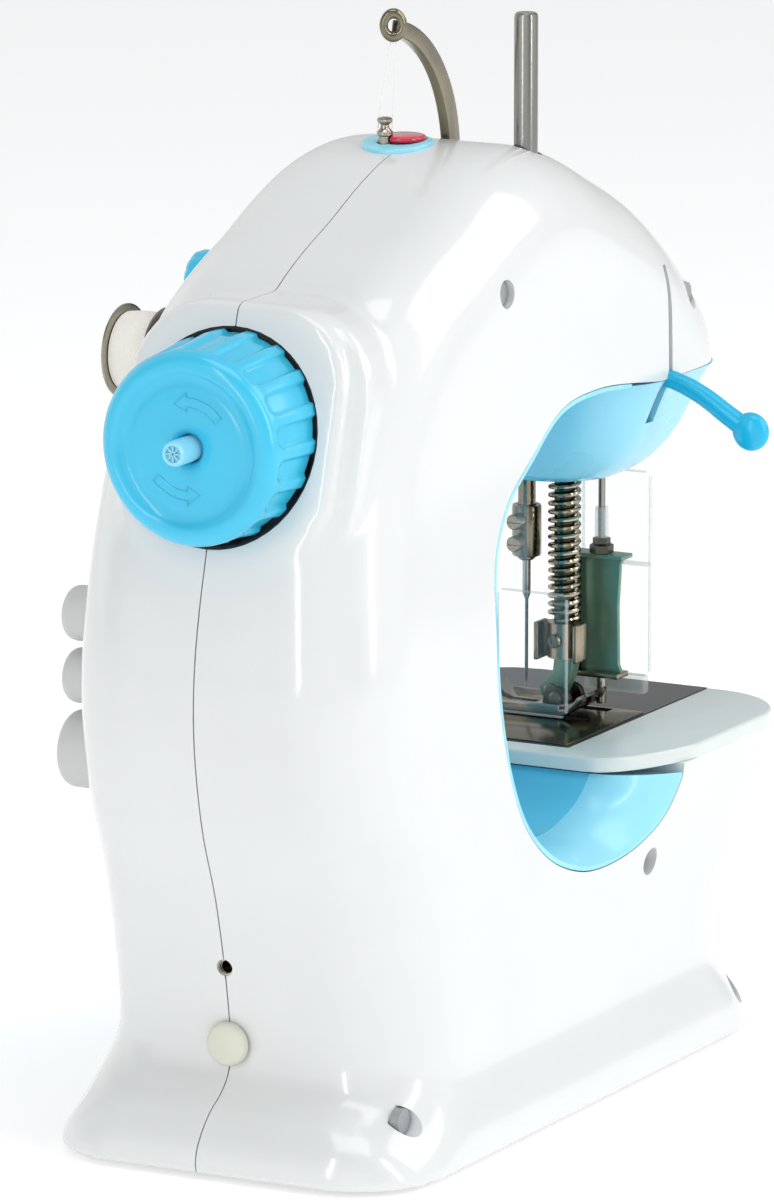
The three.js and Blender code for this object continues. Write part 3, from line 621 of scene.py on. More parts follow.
@dataclass
class BodyShape:
    """The outer form of the machine, as horizontal slices.

    Attributes:
        outline: side view of the body, up the handwheel end and down the far end.
        rear_bed: depth of the rear side at the needle end, by height.
        rear_column: depth of the rear side at the handwheel end, by height.
        front: depth of the front side, by height.
        edge: rounding between the outline and the two sides.
    """

    outline: tuple[Point2, ...] = (
        (94, 1), (93.4, 6), (88, 12.7), (81.2, 17), (78.3, 22), (79.2, 34.4), (84.4, 58),
        (90.3, 75), (93.7, 95), (93, 112), (87.5, 135), (79, 156), (69, 173), (57.5, 184.5),
        (46.9, 190.3), (33.5, 195.8), (20, 201.8), (6.4, 206.2), (-8, 207.6), (-22, 205.2),
        (-39, 198.4), (-55, 191), (-69, 182), (-79, 173.4), (-87, 165.4), (-91.3, 157),
        (-92.5, 145), (-94, 110), (-96.6, 80), (-97, 70), (-96.2, 60), (-93.5, 49),
        (-88.5, 41), (-82, 33), (-79.2, 26), (-79.6, 19.5), (-84, 12.5), (-89.2, 6), (-90, 1),
    )
    rear_bed: tuple[Point2, ...] = (
        (3, 48.6), (23, 43.6), (42, 44.3), (70, 49.5), (96, 42), (150, 36.4), (180, 36)
    )
    rear_column: tuple[Point2, ...] = ((3, 48.6), (23, 43.6), (60, 43.4), (105, 41), (150, 36.4), (180, 36))
    front: tuple[Point2, ...] = ((6, 41), (28, 35.2), (155, 35.5), (182, 33))
    edge: float = 20.0
    path: np.ndarray = field(init=False)

    def __post_init__(self) -> None:
        """Rounds the outline."""
        self.path = smooth_path(self.outline, 320)

    def rear(self, x: float, z: float) -> float:
        """Depth of the rear side at a place on the side view."""
        t = min(max((x + 30) / 70, 0), 1)
        t = t * t * (3 - 2 * t)
        return eased(self.rear_bed, z) * (1 - t) + eased(self.rear_column, z) * t

    def span(self, z: float) -> Point2:
        """The outline's two ends at a height."""
        a, b = self.path[:-1], self.path[1:]
        hits = (a[:, 1] - z) * (b[:, 1] - z) <= 0
        a, b = a[hits], b[hits]
        drop = np.where(np.abs(b[:, 1] - a[:, 1]) < 1e-9, 1e-9, b[:, 1] - a[:, 1])
        xs = a[:, 0] + (b[:, 0] - a[:, 0]) * np.clip((z - a[:, 1]) / drop, 0, 1)
        return float(xs.min()), float(xs.max())

    def inside(self, x: float, z: float) -> float:
        """Distance from the outline to a place within it."""
        a, b = self.path[:-1], self.path[1:]
        run = b - a
        t = np.clip(((np.array((x, z)) - a) * run).sum(1) / np.maximum((run**2).sum(1), 1e-9), 0, 1)
        near = a + run * t[:, None]
        return float(np.sqrt(((near - (x, z)) ** 2).sum(1)).min())

    def section(self, z: float, corner: int = 14, middle: int = 22) -> list[Point3]:
        """One horizontal slice.

        Args:
            z: its height.
            corner: steps in each rounded corner.
            middle: steps between the corners.

        Returns:
            Its places, in order round the body.
        """
        left, right = self.span(z)
        reach = min(self.edge * 1.15, (right - left) * 0.44)
        turn = [reach * (1 - math.cos(i * math.pi / 2 / corner)) for i in range(corner + 1)]
        stations = [right - t for t in turn]
        stations += [right - reach + (left - right + 2 * reach) * i / middle for i in range(1, middle)]
        stations += [left + t for t in reversed(turn)]
        rear: list[Point3] = []
        front: list[Point3] = []
        for i, x in enumerate(stations):
            depth = 0.0 if i in (0, len(stations) - 1) else self.inside(x, z)
            lost = max(self.edge - depth, 0)
            drop = self.edge - math.sqrt(max(self.edge**2 - lost**2, 0))
            rear.append((x, self.rear(x, z) - drop, z))
            front.append((x, -eased(self.front, z) + drop, z))
        return rear + front[::-1]

    def solid(self) -> bmesh.types.BMesh:
        """The whole closed body without its openings."""
        top = float(self.path[:, 1].max())
        levels = [1.0, 2.0] + [3.0 + 2.6 * i for i in range(67)]
        start = levels[-1]
        levels += [top - (top - start) * (1 - i / 40) ** 2 for i in range(1, 40)]
        return loft([self.section(z) for z in levels] + [self.section(top - 0.01)])


THROAT: tuple[Point2, ...] = (
    (-52, 150.5), (-22, 153.8), (-4, 152.2), (10, 144.5), (24, 136), (32.5, 125), (35, 110),
    (34, 92), (31.5, 77), (27, 67), (17, 58), (2, 52.2), (-11, 51.3), (-24, 53.4), (-33, 58), (-38, 66),
)
LINER: tuple[Point2, ...] = (
    (-52, 148.9), (-22, 150.4), (-6, 148.6), (8, 141.2), (20.6, 133), (28.6, 123.4), (31, 110),
    (30, 92), (27.6, 78), (23, 67.5), (15, 61.6), (5, 58.6), (-4, 58.2), (
        -11, 60.2
    ), (-17, 63.6), (-21, 68.3),
)


def from_centre(points: np.ndarray, grow: float) -> np.ndarray:
    """Moves places away from the middle of the throat by a distance."""
    centre = np.array((-4.0, 102.0))
    out = points - centre
    return points + out / np.linalg.norm(out, axis=1)[:, None] * grow


@dataclass
class Shells:
    """The two white shells that meet in the seam.

    Attributes:
        shape: outer form of the body.
        wheel_z: height of the handwheel's axis.
        well_radius: radius of the well that the handwheel sits in.
        well_floor: station of the well's floor.
        face_x: station of the collar's face on the handwheel's axis.
        face_tilt: how far the face leans back for each millimetre up.
        wall: thickness of the shells.
        seam: half the width of the seam.
        screws: rear screw recesses, as side-view place and seat depth.
        buttons: button holes, as side-view place and radius.
    """

    shape: BodyShape
    wheel_z: float = 157.1
    well_radius: float = 22.7
    well_floor: float = 71.0
    face_x: float = 81.4
    face_tilt: float = 0.282
    wall: float = 1.6
    seam: float = 0.16
    screws: tuple[Point3, ...] = (
        (20.8, 181, 32), (-30.5, 47.8, 37), (76, 13.5, 38), (-72, 166.5, 30), (-74, 9.5, 38)
    )
    buttons: tuple[Point3, ...] = ((64, 112.2, 6), (64, 98.6, 6), (64, 82.6, 8.4))

    def collar(self) -> bmesh.types.BMesh:
        """The stepped square collar round the handwheel, with its tilted face."""
        inner = plate(rounded_rectangle(-24.2, 27, 131.5, 184.5, 17), Axis.X, 50, 104)
        outer = plate(rounded_rectangle(-25.5, 31.5, 127.5, 184.2, 19), Axis.X, 50, 104)
        for bm, back in ((inner, 0.0), (outer, 3.4)):
            lean = Vector((1, 0, self.face_tilt)).normalized()
            trim(bm, (self.face_x - back, 0, self.wheel_z), lean)
            bmesh.ops.holes_fill(bm, edges=bm.edges)
            bmesh.ops.recalc_face_normals(bm, faces=bm.faces)
        return combined(inner, outer, "UNION")

    def tunnel(self) -> bmesh.types.BMesh:
        """What the throat takes out of the body, from front to rear."""
        outline = [tuple(p) for p in smooth_path(THROAT, 90)]
        outline += [(-38, 68.8), (-130, 68.8), (-130, 150.5)]
        return plate(outline, Axis.Y, -70, 70)

    def cutters(self) -> list[bmesh.types.BMesh]:
        """The well and every smaller hole."""
        found = [
            bore(Axis.X, self.well_floor, 120, 0, self.wheel_z, self.well_radius),
            bore(Axis.X, 60, 72, 0, self.wheel_z, 3.6),
            block(-32, -22.5, -4.6, -1.4, 196, 212, 0),
            bore(Axis.Z, 190, 215, -18.4, 20, 3.6),
            block(-57.4, -55.6, 20, 42, 138, 175.5, 0),
            bore(Axis.X, 70, 95, 0, 43, 1.9),
            bore(Axis.X, 68, 95, 0, 26.2, 4.2),
        ]
        found += [bore(Axis.Y, -50, -28.5, x, z, r + 0.3) for x, z, r in self.buttons]
        found += [bore(Axis.Y, seat, 60, x, z, 3.1) for x, z, seat in self.screws]
        found += [bore(Axis.Y, -50, -28, 40, 165, 2.3), bore(Axis.Y, -50, -28, 10, 176, 2.4)]
        return found

    def build(self) -> None:
        """Makes both shells."""
        whole = combined(self.shape.solid(), self.collar(), "UNION")
        whole = with_modifier(whole, "REMESH", mode="VOXEL", voxel_size=1.05, adaptivity=0.0)
        for _ in range(7):
            bmesh.ops.smooth_vert(
                whole, verts=whole.verts, factor=0.5, use_axis_x=True, use_axis_y=True, use_axis_z=True
            )
        whole = cut(whole, self.tunnel(), *self.cutters())
        for name, side in (("front_shell", -1), ("rear_shell", 1)):
            half = whole.copy()
            trim(half, (0, side * self.seam, 0), (0, -side, 0))
            bmesh.ops.solidify(half, geom=half.faces[:], thickness=self.wall)
            piece(f"{name}_skin", half, WHITE, replaces=[name], crease=38)
        whole.free()
        self.well_shade_lining()

    def well_shade_lining(self) -> None:
        """A black lining of the well: painted shade in the gap round the handwheel."""
        r = self.well_radius - 0.1
        profile = [(r, self.well_floor + 0.2), (r, 96), (r - 0.5, 96), (r - 0.5, self.well_floor + 0.5),
                   (3.8, self.well_floor + 0.5), (3.8, self.well_floor + 0.2), (r, self.well_floor + 0.2)]
        bm = turned(profile, Axis.X, 0, self.wheel_z, 96)
        trim(bm, (self.face_x - 0.5, 0, self.wheel_z), Vector((1, 0, self.face_tilt)).normalized())
        bmesh.ops.holes_fill(bm, edges=[e for e in bm.edges if e.is_boundary])
        bmesh.ops.recalc_face_normals(bm, faces=bm.faces)
        piece("well_shade_lining", bm, BLACK)


@dataclass
class Throat:
    """The blue lining of the throat with its flared rims.

    Attributes:
        shape: outer form of the body.
        lip: width of the flared edge that shows on the faces.
        mouth_x: station where the lining ends towards the needle.
    """

    shape: BodyShape
    lip: float = 1.0
    mouth_x: float = -37.6

    def build(self) -> None:
        """Makes the lining."""
        outer = from_centre(smooth_path(THROAT, 90), -0.25)
        inner = smooth_path(LINER, 90)
        edge = from_centre(outer, -self.lip)
        flares = [
            (0, 1), (0.012, 0.86), (0.03, 0.62), (0.055, 0.38), (0.085, 0.2), (0.12, 0.08), (0.17, 0.01),
            (0.5, 0)
        ]
        flares += [(1 - a, b) for a, b in reversed(flares[:-1])]
        rings = []
        for place, flare in flares:
            lining = inner * (1 - flare) + edge * flare
            ring = []
            for x, z in list(outer) + list(lining[::-1]):
                front, rear = -eased(self.shape.front, z) + 0.1, self.shape.rear(x, z) - 0.1
                ring.append((x, front + (rear - front) * place, z))
            rings.append(ring)
        bm = loft(rings)
        trim(bm, (self.mouth_x, 0, 0), (-1, 0, 0))
        bmesh.ops.holes_fill(bm, edges=[e for e in bm.edges if e.is_boundary])
        bmesh.ops.recalc_face_normals(bm, faces=bm.faces)
        # The darker blue in the middle of the lining is painted shade cast by the arm above.
        piece(
            "throat_lining", bm, PALE_BLUE, replaces=["throat_liner"], crease=50,
            second=(SHADE_SKY_BLUE, self.deep)
        )

    def deep(self, place: Vector) -> bool:
        """Whether a place on the lining lies in the middle of the throat, which takes the darker blue as
        painted shade under the arm.
        """
        return -24 < place.y < 33 - 0.1 * (place.z - 60)


@dataclass
class Bed:
    """The bed cover and the parts let into it.

    Attributes:
        shape: outer form of the body.
        top: height of the bed.
    """

    shape: BodyShape
    top: float = 72.0

    def build(self) -> None:
        """Makes the bed cover and dresses its plate."""
        ring = [(x, y) for x, y, _ in self.shape.section(70, 14, 30)]
        slab = plate(ring, Axis.Z, 68.85, self.top)
        edge = [(-130, -60), (-20, -60), (-20, 34), (-20.8, 37.3), (-23.2, 40.4), (-27, 43.2), (-31.5, 45.5),
                (-37, 47.6), (-43, 49.2), (-50, 50.6), (-50, 60), (-130, 60)]
        slab = cut(slab, plate(edge, Axis.Z, 60, 80), keep=True)
        rim = [
            e for e in slab.edges
            if all(
                abs(v.co.z - self.top) < 1e-3 for v in e.verts
            ) and len(e.link_faces) == 2 and e.calc_face_angle(0) > 0.8
        ]
        bmesh.ops.bevel(slab, geom=rim, offset=0.7, segments=4, profile=0.5, affect="EDGES", material=-1)
        slab = cut(
            slab, block(-130, -27, -31, 26.5, self.top - 1.2, self.top + 2, 0),
            block(-76, -46, -60, -7, self.top - 1.2, self.top + 2, 0),
            block(-77.5, -41, -28.5, 21.5, 60, 75, 0),
        )
        piece("bed_cover_skin", slab, BED_WHITE, replaces=["bed_cover"])
        shine = cut(
            plate(
                rounded_rectangle(-66.5, -28.4, -5.5, 25.6, 1.5, 5), Axis.Z, self.top + 0.1,
                self.top + 0.35, 0.08
            ),
            block(-65.6, -62.4, -3.2, 18.2, 70, 75, 0), block(-54.4, -51.2, -3.2, 18.2, 70, 75, 0),
            bore(Axis.Z, 70, 75, -58.4, 0, 1.4, 24),
        )
        piece("needle_plate_shine", shine, DARK_NICKEL)


# ------------------------------------------------------------------ handwheel


@dataclass
class Handwheel:
    """The scalloped handwheel with its spindle.

    Attributes:
        z: height of its axis.
        radius: outer radius.
        face: station of its face rim. Not used.
        scallops: number of recesses round it.
    """

    z: float = 157.1
    radius: float = 20.9
    face: float = 97.8
    scallops: int = 18
    body: str = "handwheel"

    def build(self) -> None:
        """Makes the wheel, its arrows and its spindle."""
        self.wheel()
        self.arrows()
        self.tip()

    def wheel(self) -> None:
        """The wheel itself, with its U-shaped recesses."""
        stations = [75 + 0.75 * i for i in range(25)]
        sides = [(self.radius + 1.2 * min(max((92 - x) / 12, 0), 1), x) for x in stations]
        profile = [(3.1, 74), (self.radius + 0.8, 74), *sides, (20.85, 94.2), (20.6, 95.0), (20.2, 95.8),
                   (19.6, 96.5), (18.9, 97.0), (18.1, 97.3), (
                       17.3, 97.35
                   ), (16.6, 97.1), (16.1, 96.6), (15.5, 96.15),
                   (14.6, 95.9), (
                       13.6, 95.85
                   ), (13.2, 96.0), (12.6, 96.1), (10, 96.15), (6, 96.2), (4.6, 96.1),
                   (3.8, 95.7), (3.1, 95.0), (3.1, 74)]
        bm = turned(profile, Axis.X, 0, self.z, 18 * 20)
        pitch = 2 * math.pi / self.scallops
        for v in bm.verts:
            dy, dz = v.co.y, v.co.z - self.z
            r = math.hypot(dy, dz)
            if r < 18.4 or v.co.x < 74.5:
                continue
            turn = (math.atan2(dz, dy) / pitch) % 1 - 0.5
            across = turn * pitch * r
            back = max(v.co.x - 91.3, 0)
            gap = math.hypot(across, back) - 2.35
            deep = 1 - min(max((gap + 0.45) / 0.9, 0), 1)
            deep = deep * deep * (3 - 2 * deep)
            sink = 0.85 * deep
            v.co.y -= dy / r * sink
            v.co.z -= dz / r * sink
        piece("handwheel_rim", bm, BLUE, self.body, ["handwheel"], crease=60)

    def arrows(self) -> None:
        """Two raised curved arrows on the wheel's disc."""
        parts = []
        for turn in (0, math.pi):
            lines: list[list[Point2]] = [
                [(10.9, 42 + 7 * i) for i in range(8)], [(8.9, 42 + 7 * i) for i in range(8)],
                [(10.9, 42), (8.9, 42)], [(10.9, 91), (12.0, 90), (9.9, 108), (7.8, 90), (8.9, 91)],
            ]
            for line in lines:
                path = []
                for r, d in line:
                    t = math.radians(d) + turn
                    path.append((96.2, r * math.cos(t), self.z + r * math.sin(t)))
                parts.append(tube(path, 0.17, 8))
        piece("wheel_arrows", merged(*parts), BLUE, self.body)

    def tip(self) -> None:
        """The spindle's end with its notched rim and star."""
        profile = [(0, 33), (2, 33), (2, 73), (2.75, 73), (2.75, 100.9), (2.6, 101.9), (2.3, 102.3),
                   (1.9, 102.3), (1.7, 102.0), (1.65, 101.6), (0.9, 101.6), (0, 101.6)]
        bm = turned(profile, Axis.X, 0, self.z, 96)
        spokes = []
        for i in range(4):
            bar = block(101.5, 102.1, -1.8, 1.8, self.z - 0.16, self.z + 0.16, 0.05)
            bmesh.ops.rotate(
                bar, cent=(0, 0, self.z), matrix=Matrix.Rotation(i * math.pi / 4, 3, "X"), verts=bar.verts
            )
            spokes.append(bar)
        piece("spindle_tip", merged(bm, *spokes), PALE_BLUE, self.body, ["wheel_spindle"])


# ------------------------------------------------------------------ front side


@dataclass
class FrontControls:
    """Buttons, bobbin and tension dial on the operator's side.

    Attributes:
        buttons: for each, the body it moves, its place along and up, and its radius.
        nodes: the solid that each button stands for.
        bobbin_at: axis of the bobbin, along and up.
        dial_at: axis of the tension dial, along and up.
    """

    buttons: tuple[tuple[str, float, float, float], ...] = (
        (
            "low speed button", 64, 112.2, 6.0
        ), ("high speed button", 64, 98.6, 6.0), ("power button", 64, 82.6, 8.4),
    )
    nodes: tuple[str, ...] = ("button_low", "button_high", "button_power")
    bobbin_at: Point2 = (40, 165)
    dial_at: Point2 = (10, 176)

    def build(self) -> None:
        """Makes every front piece."""
        for (body, x, z, r), node in zip(self.buttons, self.nodes):
            profile = [(0, -46.3), (r * 0.6, -46.25), (r - 1.3, -46.1), (r - 0.7, -45.8), (r - 0.3, -45.3),
                       (r - 0.08, -44.7), (r, -44.0), (r, -32), (0, -32)]
            piece(f"{node}_cap", turned(profile, Axis.Y, x, z, 72), GREY, body, [node])
        self.bobbin()
        self.dial()

    def bobbin(self) -> None:
        """The metal bobbin with its thread."""
        for k, (a, b) in enumerate(((-46.8, -46.1), (-36.9, -36.2))):
            profile = [(2.6, a), (9.7, a), (10.2, a + 0.15), (10.2, b - 0.15), (9.7, b), (2.6, b), (2.6, a)]
            flange = turned(profile, Axis.Y, *self.bobbin_at, 72)
            holes = []
            for t in range(6):
                x = self.bobbin_at[0] + 6.4 * math.cos(t * math.pi / 3)
                z = self.bobbin_at[1] + 6.4 * math.sin(t * math.pi / 3)
                holes.append(bore(Axis.Y, a - 1, b + 1, x, z, 1.3, 20))
            piece(f"bobbin_flange_{k}", cut(flange, *holes), NICKEL, "bobbin", ["bobbin"] if k == 0 else [])
        core = [(2.6, -46.2), (3.8, -46.2), (3.8, -36.8), (2.6, -36.8), (2.6, -46.2)]
        piece("bobbin_core", turned(core, Axis.Y, *self.bobbin_at, 40), NICKEL, "bobbin")
        turns = 22
        wound = [(4.0, -45.9)]
        for i in range(turns * 4 + 1):
            s = -45.9 + 8.8 * i / (turns * 4)
            bulge = 8.5 + 0.35 * math.sin(math.pi * i / (turns * 4)) + 0.09 * abs(math.sin(math.pi * i / 4))
            wound.append((bulge, s))
        wound += [(4.0, -37.1), (4.0, -45.9)]
        piece(
            "bobbin_winding", turned(wound, Axis.Y, *self.bobbin_at, 64), THREAD, "bobbin",
            ["bobbin_thread"]
        )
        spindle = [
            (0, -48.6), (1.3, -48.6), (1.8, -48.2), (2, -47.4), (2, -31.4), (3.6, -31.4), (3.6, -29.4),
            (0, -29.4)
        ]
        piece(
            "bobbin_pin", turned(spindle, Axis.Y, *self.bobbin_at, 40), STEEL, replaces=["bobbin_spindle"]
        )

    def dial(self) -> None:
        """The ribbed tension dial."""
        profile = [(0, -46), (4.4, -46), (5.6, -45.7), (6.3, -45.0), (6.6, -44), (6.6, -41), (6.3, -40.4),
                   (2.6, -40.4), (2.6, -43), (0, -43)]
        bm = turned(profile, Axis.Y, *self.dial_at, 144)
        for v in bm.verts:
            dx, dz = v.co.x - self.dial_at[0], v.co.z - self.dial_at[1]
            r = math.hypot(dx, dz)
            if r > 5.5:
                sink = 0.3 * (0.5 + 0.5 * math.cos(12 * math.atan2(dz, dx))) ** 3
                v.co.x -= dx / r * sink
                v.co.z -= dz / r * sink
        piece("tension_knob", bm, BLUE, "tension dial", ["tension_dial"])


# ------------------------------------------------------------------ top side


@dataclass
class Top:
    """Thread guide plate, take-up lever and spool pin.

    Attributes:
        shape: outer form of the body.
        pivot: place of the lever's hidden pivot, along and up.
        arm: radius of the lever's arc.
        y: place of the lever across the machine.
        plate_at: middle of the blue plate.
        insert_at: middle of the red insert.
        post_at: place of the guide post.
        spool_at: place of the spool pin.
    """

    shape: BodyShape
    pivot: Point2 = (5, 200.5)
    arm: float = 32.5
    y: float = -3.0
    plate_at: Point2 = (-1.2, -2.2)
    insert_at: Point2 = (-2.5, -1.2)
    post_at: Point2 = (1.2, -4)
    spool_at: Point2 = (-18.4, 20)

    def build(self) -> None:
        """Makes the top pieces."""
        self.guide()
        self.lever()
        self.spool()

    def oval(
        self, centre: Point2, rx: float, ry: float, z0: float, z1: float, round_by: float
    ) -> bmesh.types.BMesh:
        """An upright oval slab."""
        turns = [t * math.pi / 36 for t in range(72)]
        outline = [(centre[0] + rx * math.cos(t), centre[1] + ry * math.sin(t)) for t in turns]
        return plate(outline, Axis.Z, z0, z1, round_by)

    def follow_crown(self, bm: bmesh.types.BMesh) -> bmesh.types.BMesh:
        """Bends a flat piece down along the crown of the arm."""
        crown = self.shape.path[self.shape.path[:, 1] > 188]
        order = np.argsort(crown[:, 0])
        for v in bm.verts:
            v.co.z += float(np.interp(v.co.x, crown[order, 0], crown[order, 1])) - float(crown[:, 1].max())
        return bm

    def guide(self) -> None:
        """The blue plate, its red insert and the post."""
        slab = cut(
            self.oval(
                self.plate_at, 7.5, 7.9, 206.2, 208.5, 0.5
            ), self.oval(self.insert_at, 5, 5, 208.0, 212, 0),
            bore(Axis.Z, 195, 215, *self.post_at, 1.8, 32),
        )
        bmesh.ops.triangulate(slab, faces=slab.faces[:])
        piece("guide_plate", self.follow_crown(slab), PALE_BLUE, replaces=["top_plate"])
        gem = cut(
            self.oval(self.insert_at, 4.7, 4.7, 208.02, 209.3, 0.6),
            bore(Axis.Z, 195, 215, *self.post_at, 1.8, 32)
        )
        piece("guide_insert", gem, RED, replaces=["top_insert"])
        profile = [(0, 203.6), (1.4, 203.6), (1.4, 209.3), (1.75, 209.6), (1.75, 210.3), (1.2, 210.8),
                   (0.95, 211.3), (0.95, 211.8), (1.3, 212.1), (1.7, 212.5), (1.75, 212.9),
                   (1.4, 213.25), (0.8, 213.4), (0, 213.42)]
        piece("guide_post", turned(profile, Axis.Z, *self.post_at, 40), NICKEL, replaces=["thread_post"])

    def at(self, degrees: float, radius: float) -> Point2:
        """A place on the take-up lever, by its angle and distance from the pivot."""
        t = math.radians(degrees)
        return (self.pivot[0] + radius * math.cos(t), self.pivot[1] + radius * math.sin(t))

    def lever(self) -> None:
        """The flat take-up lever with its rolled eye, and the thread through it."""
        stations = [196 - 3.9 * i for i in range(25)]
        half = [1.75 + 0.75 * min(max((d - 100) / 60, 0), 1) for d in stations]
        outline = [self.at(d, self.arm + w) for d, w in zip(stations, half)]
        outline += [self.at(d, self.arm - w) for d, w in zip(reversed(stations), reversed(half))]
        bar = plate(outline, Axis.Y, self.y - 1.15, self.y + 1.15, 0.4)
        corners = [self.at(196, self.arm), self.at(189, self.arm), self.at(150, 2.4), self.at(236, 2.4)]
        spoke = plate(corners, Axis.Y, self.y - 0.7, self.y + 0.7, 0.2)
        ex, ez = self.at(100.0, self.arm + 0.6)
        ring = [
            (2.25 + 1.0 * math.cos(t * math.pi / 8), 1.0 * math.sin(t * math.pi / 8)) for t in range(17)
        ]
        eye = turned(ring, Axis.X, 0, 0, 48)
        twist = Matrix.Rotation(math.radians(34), 4, "Z") @ Matrix.Diagonal((1, 0.92, 1.14, 1))
        bmesh.ops.transform(eye, matrix=Matrix.Translation((ex, self.y, ez)) @ twist, verts=eye.verts)
        piece("take_up_bar", merged(bar, spoke, eye), DARK_NICKEL, "take-up lever", ["take_up_lever"])
        for k, (foot, side) in enumerate((((1.5, -5.6, 210.9), -0.5), ((1.0, -2.4, 210.9), 0.5))):
            start, end = Vector((ex - 0.6, self.y + side, ez - 1.5)), Vector(foot)
            path = []
            for i in range(25):
                slack = Vector((0, 0.25 * side * math.sin(math.pi * i / 24), 0))
                path.append(tuple(start.lerp(end, i / 24) + slack))
            piece(f"thread_strand_{k}", tube(path, 0.13, 8), THREAD, "take-up lever", bend=(start, end))

    def spool(self) -> None:
        """The spool pin, which slides down through its short sleeve."""
        sleeve = [(2.9, 196), (4.4, 196), (4.4, 198), (3.3, 198), (3.3, 201.2), (2.9, 201.2), (2.9, 196)]
        piece(
            "spool_sleeve_skin", turned(sleeve, Axis.Z, *self.spool_at, 48), STEEL,
            replaces=["spool_sleeve"]
        )
        pin = [(0, 192), (2.6, 192), (2.6, 234.3), (2.45, 234.9), (2.1, 235.2), (0, 235.2)]
        piece("spool_pin_skin", turned(pin, Axis.Z, *self.spool_at, 48), STEEL, "spool pin", ["spool_pin"])


# ------------------------------------------------------------------ needle end


@dataclass
class Head:
    """The blue chin, the presser lifter, and what hangs below the head.

    Attributes:
        shape: outer form of the body. Not used.
        needle_x: station of the needle and both bars.
        bar_y: place of the presser bar behind the needle.
        lifter_x: station of the lifter's arm.
        rod_at: place of the sheet bracket's rod.
        far_guard: low X, then Y and Z from low to high, of the guard at the end.
        near_guard: the same for the guard on the throat side.
    """

    shape: BodyShape
    needle_x: float = -58.4
    bar_y: float = 9.4
    lifter_x: float = -56.5
    rod_at: Point2 = (-67.6, 14)
    far_guard: tuple[float, ...] = (-72.6, 7.0, 24.0, 79.0, 125.7)
    near_guard: tuple[float, ...] = (-45.5, -0.5, 17.0, 74.0, 102.0)

    def build(self) -> None:
        """Makes the pieces of the needle end."""
        self.chin()
        self.lifter()
        self.needle()
        self.presser()
        self.foot()
        self.guards()

    def chin(self) -> None:
        """The blue bowl below the head."""
        head = rounded_rectangle(-91.4, -37.9, -35.3, 36.0, 17, 10)
        low = rounded_rectangle(-80, -47, -16, 20, 13, 10)
        rings = []
        levels = [(150.2, 0), (149.6, 0.02), (148.8, 0.06), (147, 0.12), (144, 0.2), (140, 0.3),
                  (136, 0.42), (132.5, 0.56), (129.6, 0.72), (127.6, 0.87), (126.4, 1.0)]
        for z, t in levels:
            rings.append(
                [(hx + (lx - hx) * t, hy + (ly - hy) * t, z) for (hx, hy), (lx, ly) in zip(head, low)]
            )
        bm = loft(rings)
        bm = cut(
            bm, block(self.needle_x - 4.6, self.needle_x + 4.6, -5, 15, 118, 146, 0),
            block(-58.3, -54.7, 18, 45, 140, 156, 0),
        )
        # The bowl's flat underside takes the darker blue as painted shade, where less light reaches under
        # the head.
        piece(
            "chin_bowl", bm, PALE_BLUE, replaces=["chin_cover"], crease=42,
            second=(SHADE_SKY_BLUE, self.shaded_underside)
        )

    def shaded_underside(self, place: Vector) -> bool:
        """Whether a place on the bowl lies on its flat underside, which takes the darker blue as painted
        shade.
        """
        return place.z < 127.2 and abs(place.y) < 17

    def lifter(self) -> None:
        """The lever that lifts the presser foot."""
        x = self.lifter_x
        path = smooth_path(
            [(25, 151.6), (32, 151.0), (38.5, 149.6), (44.5, 147.0), (50, 143.6), (54, 141.2)], 30
        )
        sizes = [1.85 + 0.5 * i / 30 for i in range(31)]
        arm = tube([(x, y, z) for y, z in path], sizes, 20)
        bmesh.ops.scale(arm, vec=(0.85, 1, 1), space=Matrix.Translation((-x, 0, 0)), verts=arm.verts)
        hub = turned(
            [(0, x - 1.25), (3.6, x - 1.25), (3.6, x + 1.25), (0, x + 1.25)], Axis.X, 25, 152.2, 32
        )
        ball = [
            (4.3 * math.cos(t * math.pi / 24), x + 2.6 * math.sin(t * math.pi / 24)) for t in range(-12, 13)
        ]
        knob = turned(ball, Axis.X, 56, 140.2, 48)
        piece(
            "lifter_lever", merged(arm, hub, knob), DEEP_BLUE, "presser lifter", ["presser_lifter"],
            crease=50
        )

    def needle(self) -> None:
        """Needle bar, clamp with its screws, and the needle."""
        x = self.needle_x
        bar = turned([(0, 106), (1.6, 106), (2, 106.4), (2, 172), (0, 172)], Axis.Z, x, 0, 32)
        yoke = block(x - 3, x + 3.5, -3, 3, 152, 158, 0.3)
        piece("needle_bar_skin", merged(bar, yoke), DARK_NICKEL, "needle bar", ["needle_bar"])
        clamp = turned(
            [(2.2, 107), (3.1, 107), (3.3, 107.3), (3.3, 118.1), (3.1, 118.5), (2.2, 118.5), (2.2, 107)],
            Axis.Z, x, 0, 32
        )
        lug = block(x - 1.6, x + 4, -1.2, 1.2, 112.2, 113.6, 0.2)
        piece("needle_clamp_block", merged(clamp, lug), DARK_NICKEL, "needle bar", ["needle_clamp"])
        for k, z in enumerate((115.5, 110.5)):
            head = [
                (0, x + 2.4), (1.1, x + 2.4), (1.1, x + 4.2), (1.75, x + 4.2), (1.75, x + 6.6),
                (1.5, x + 6.9), (0, x + 6.9)
            ]
            screw = turned(head, Axis.X, 0, z, 32)
            slot = block(x + 6.4, x + 8, -3, 3, z - 0.25, z + 0.25, 0)
            piece(f"clamp_screw_{k}", cut(screw, slot), BRONZE, "needle bar")
        needle = [(0, 78), (0.12, 78.4), (0.4, 80.5), (0.42, 97), (0.95, 98.3), (0.95, 106), (0, 106)]
        piece("needle_skin", turned(needle, Axis.Z, x, 0, 20), STEEL, "needle bar", ["needle"])

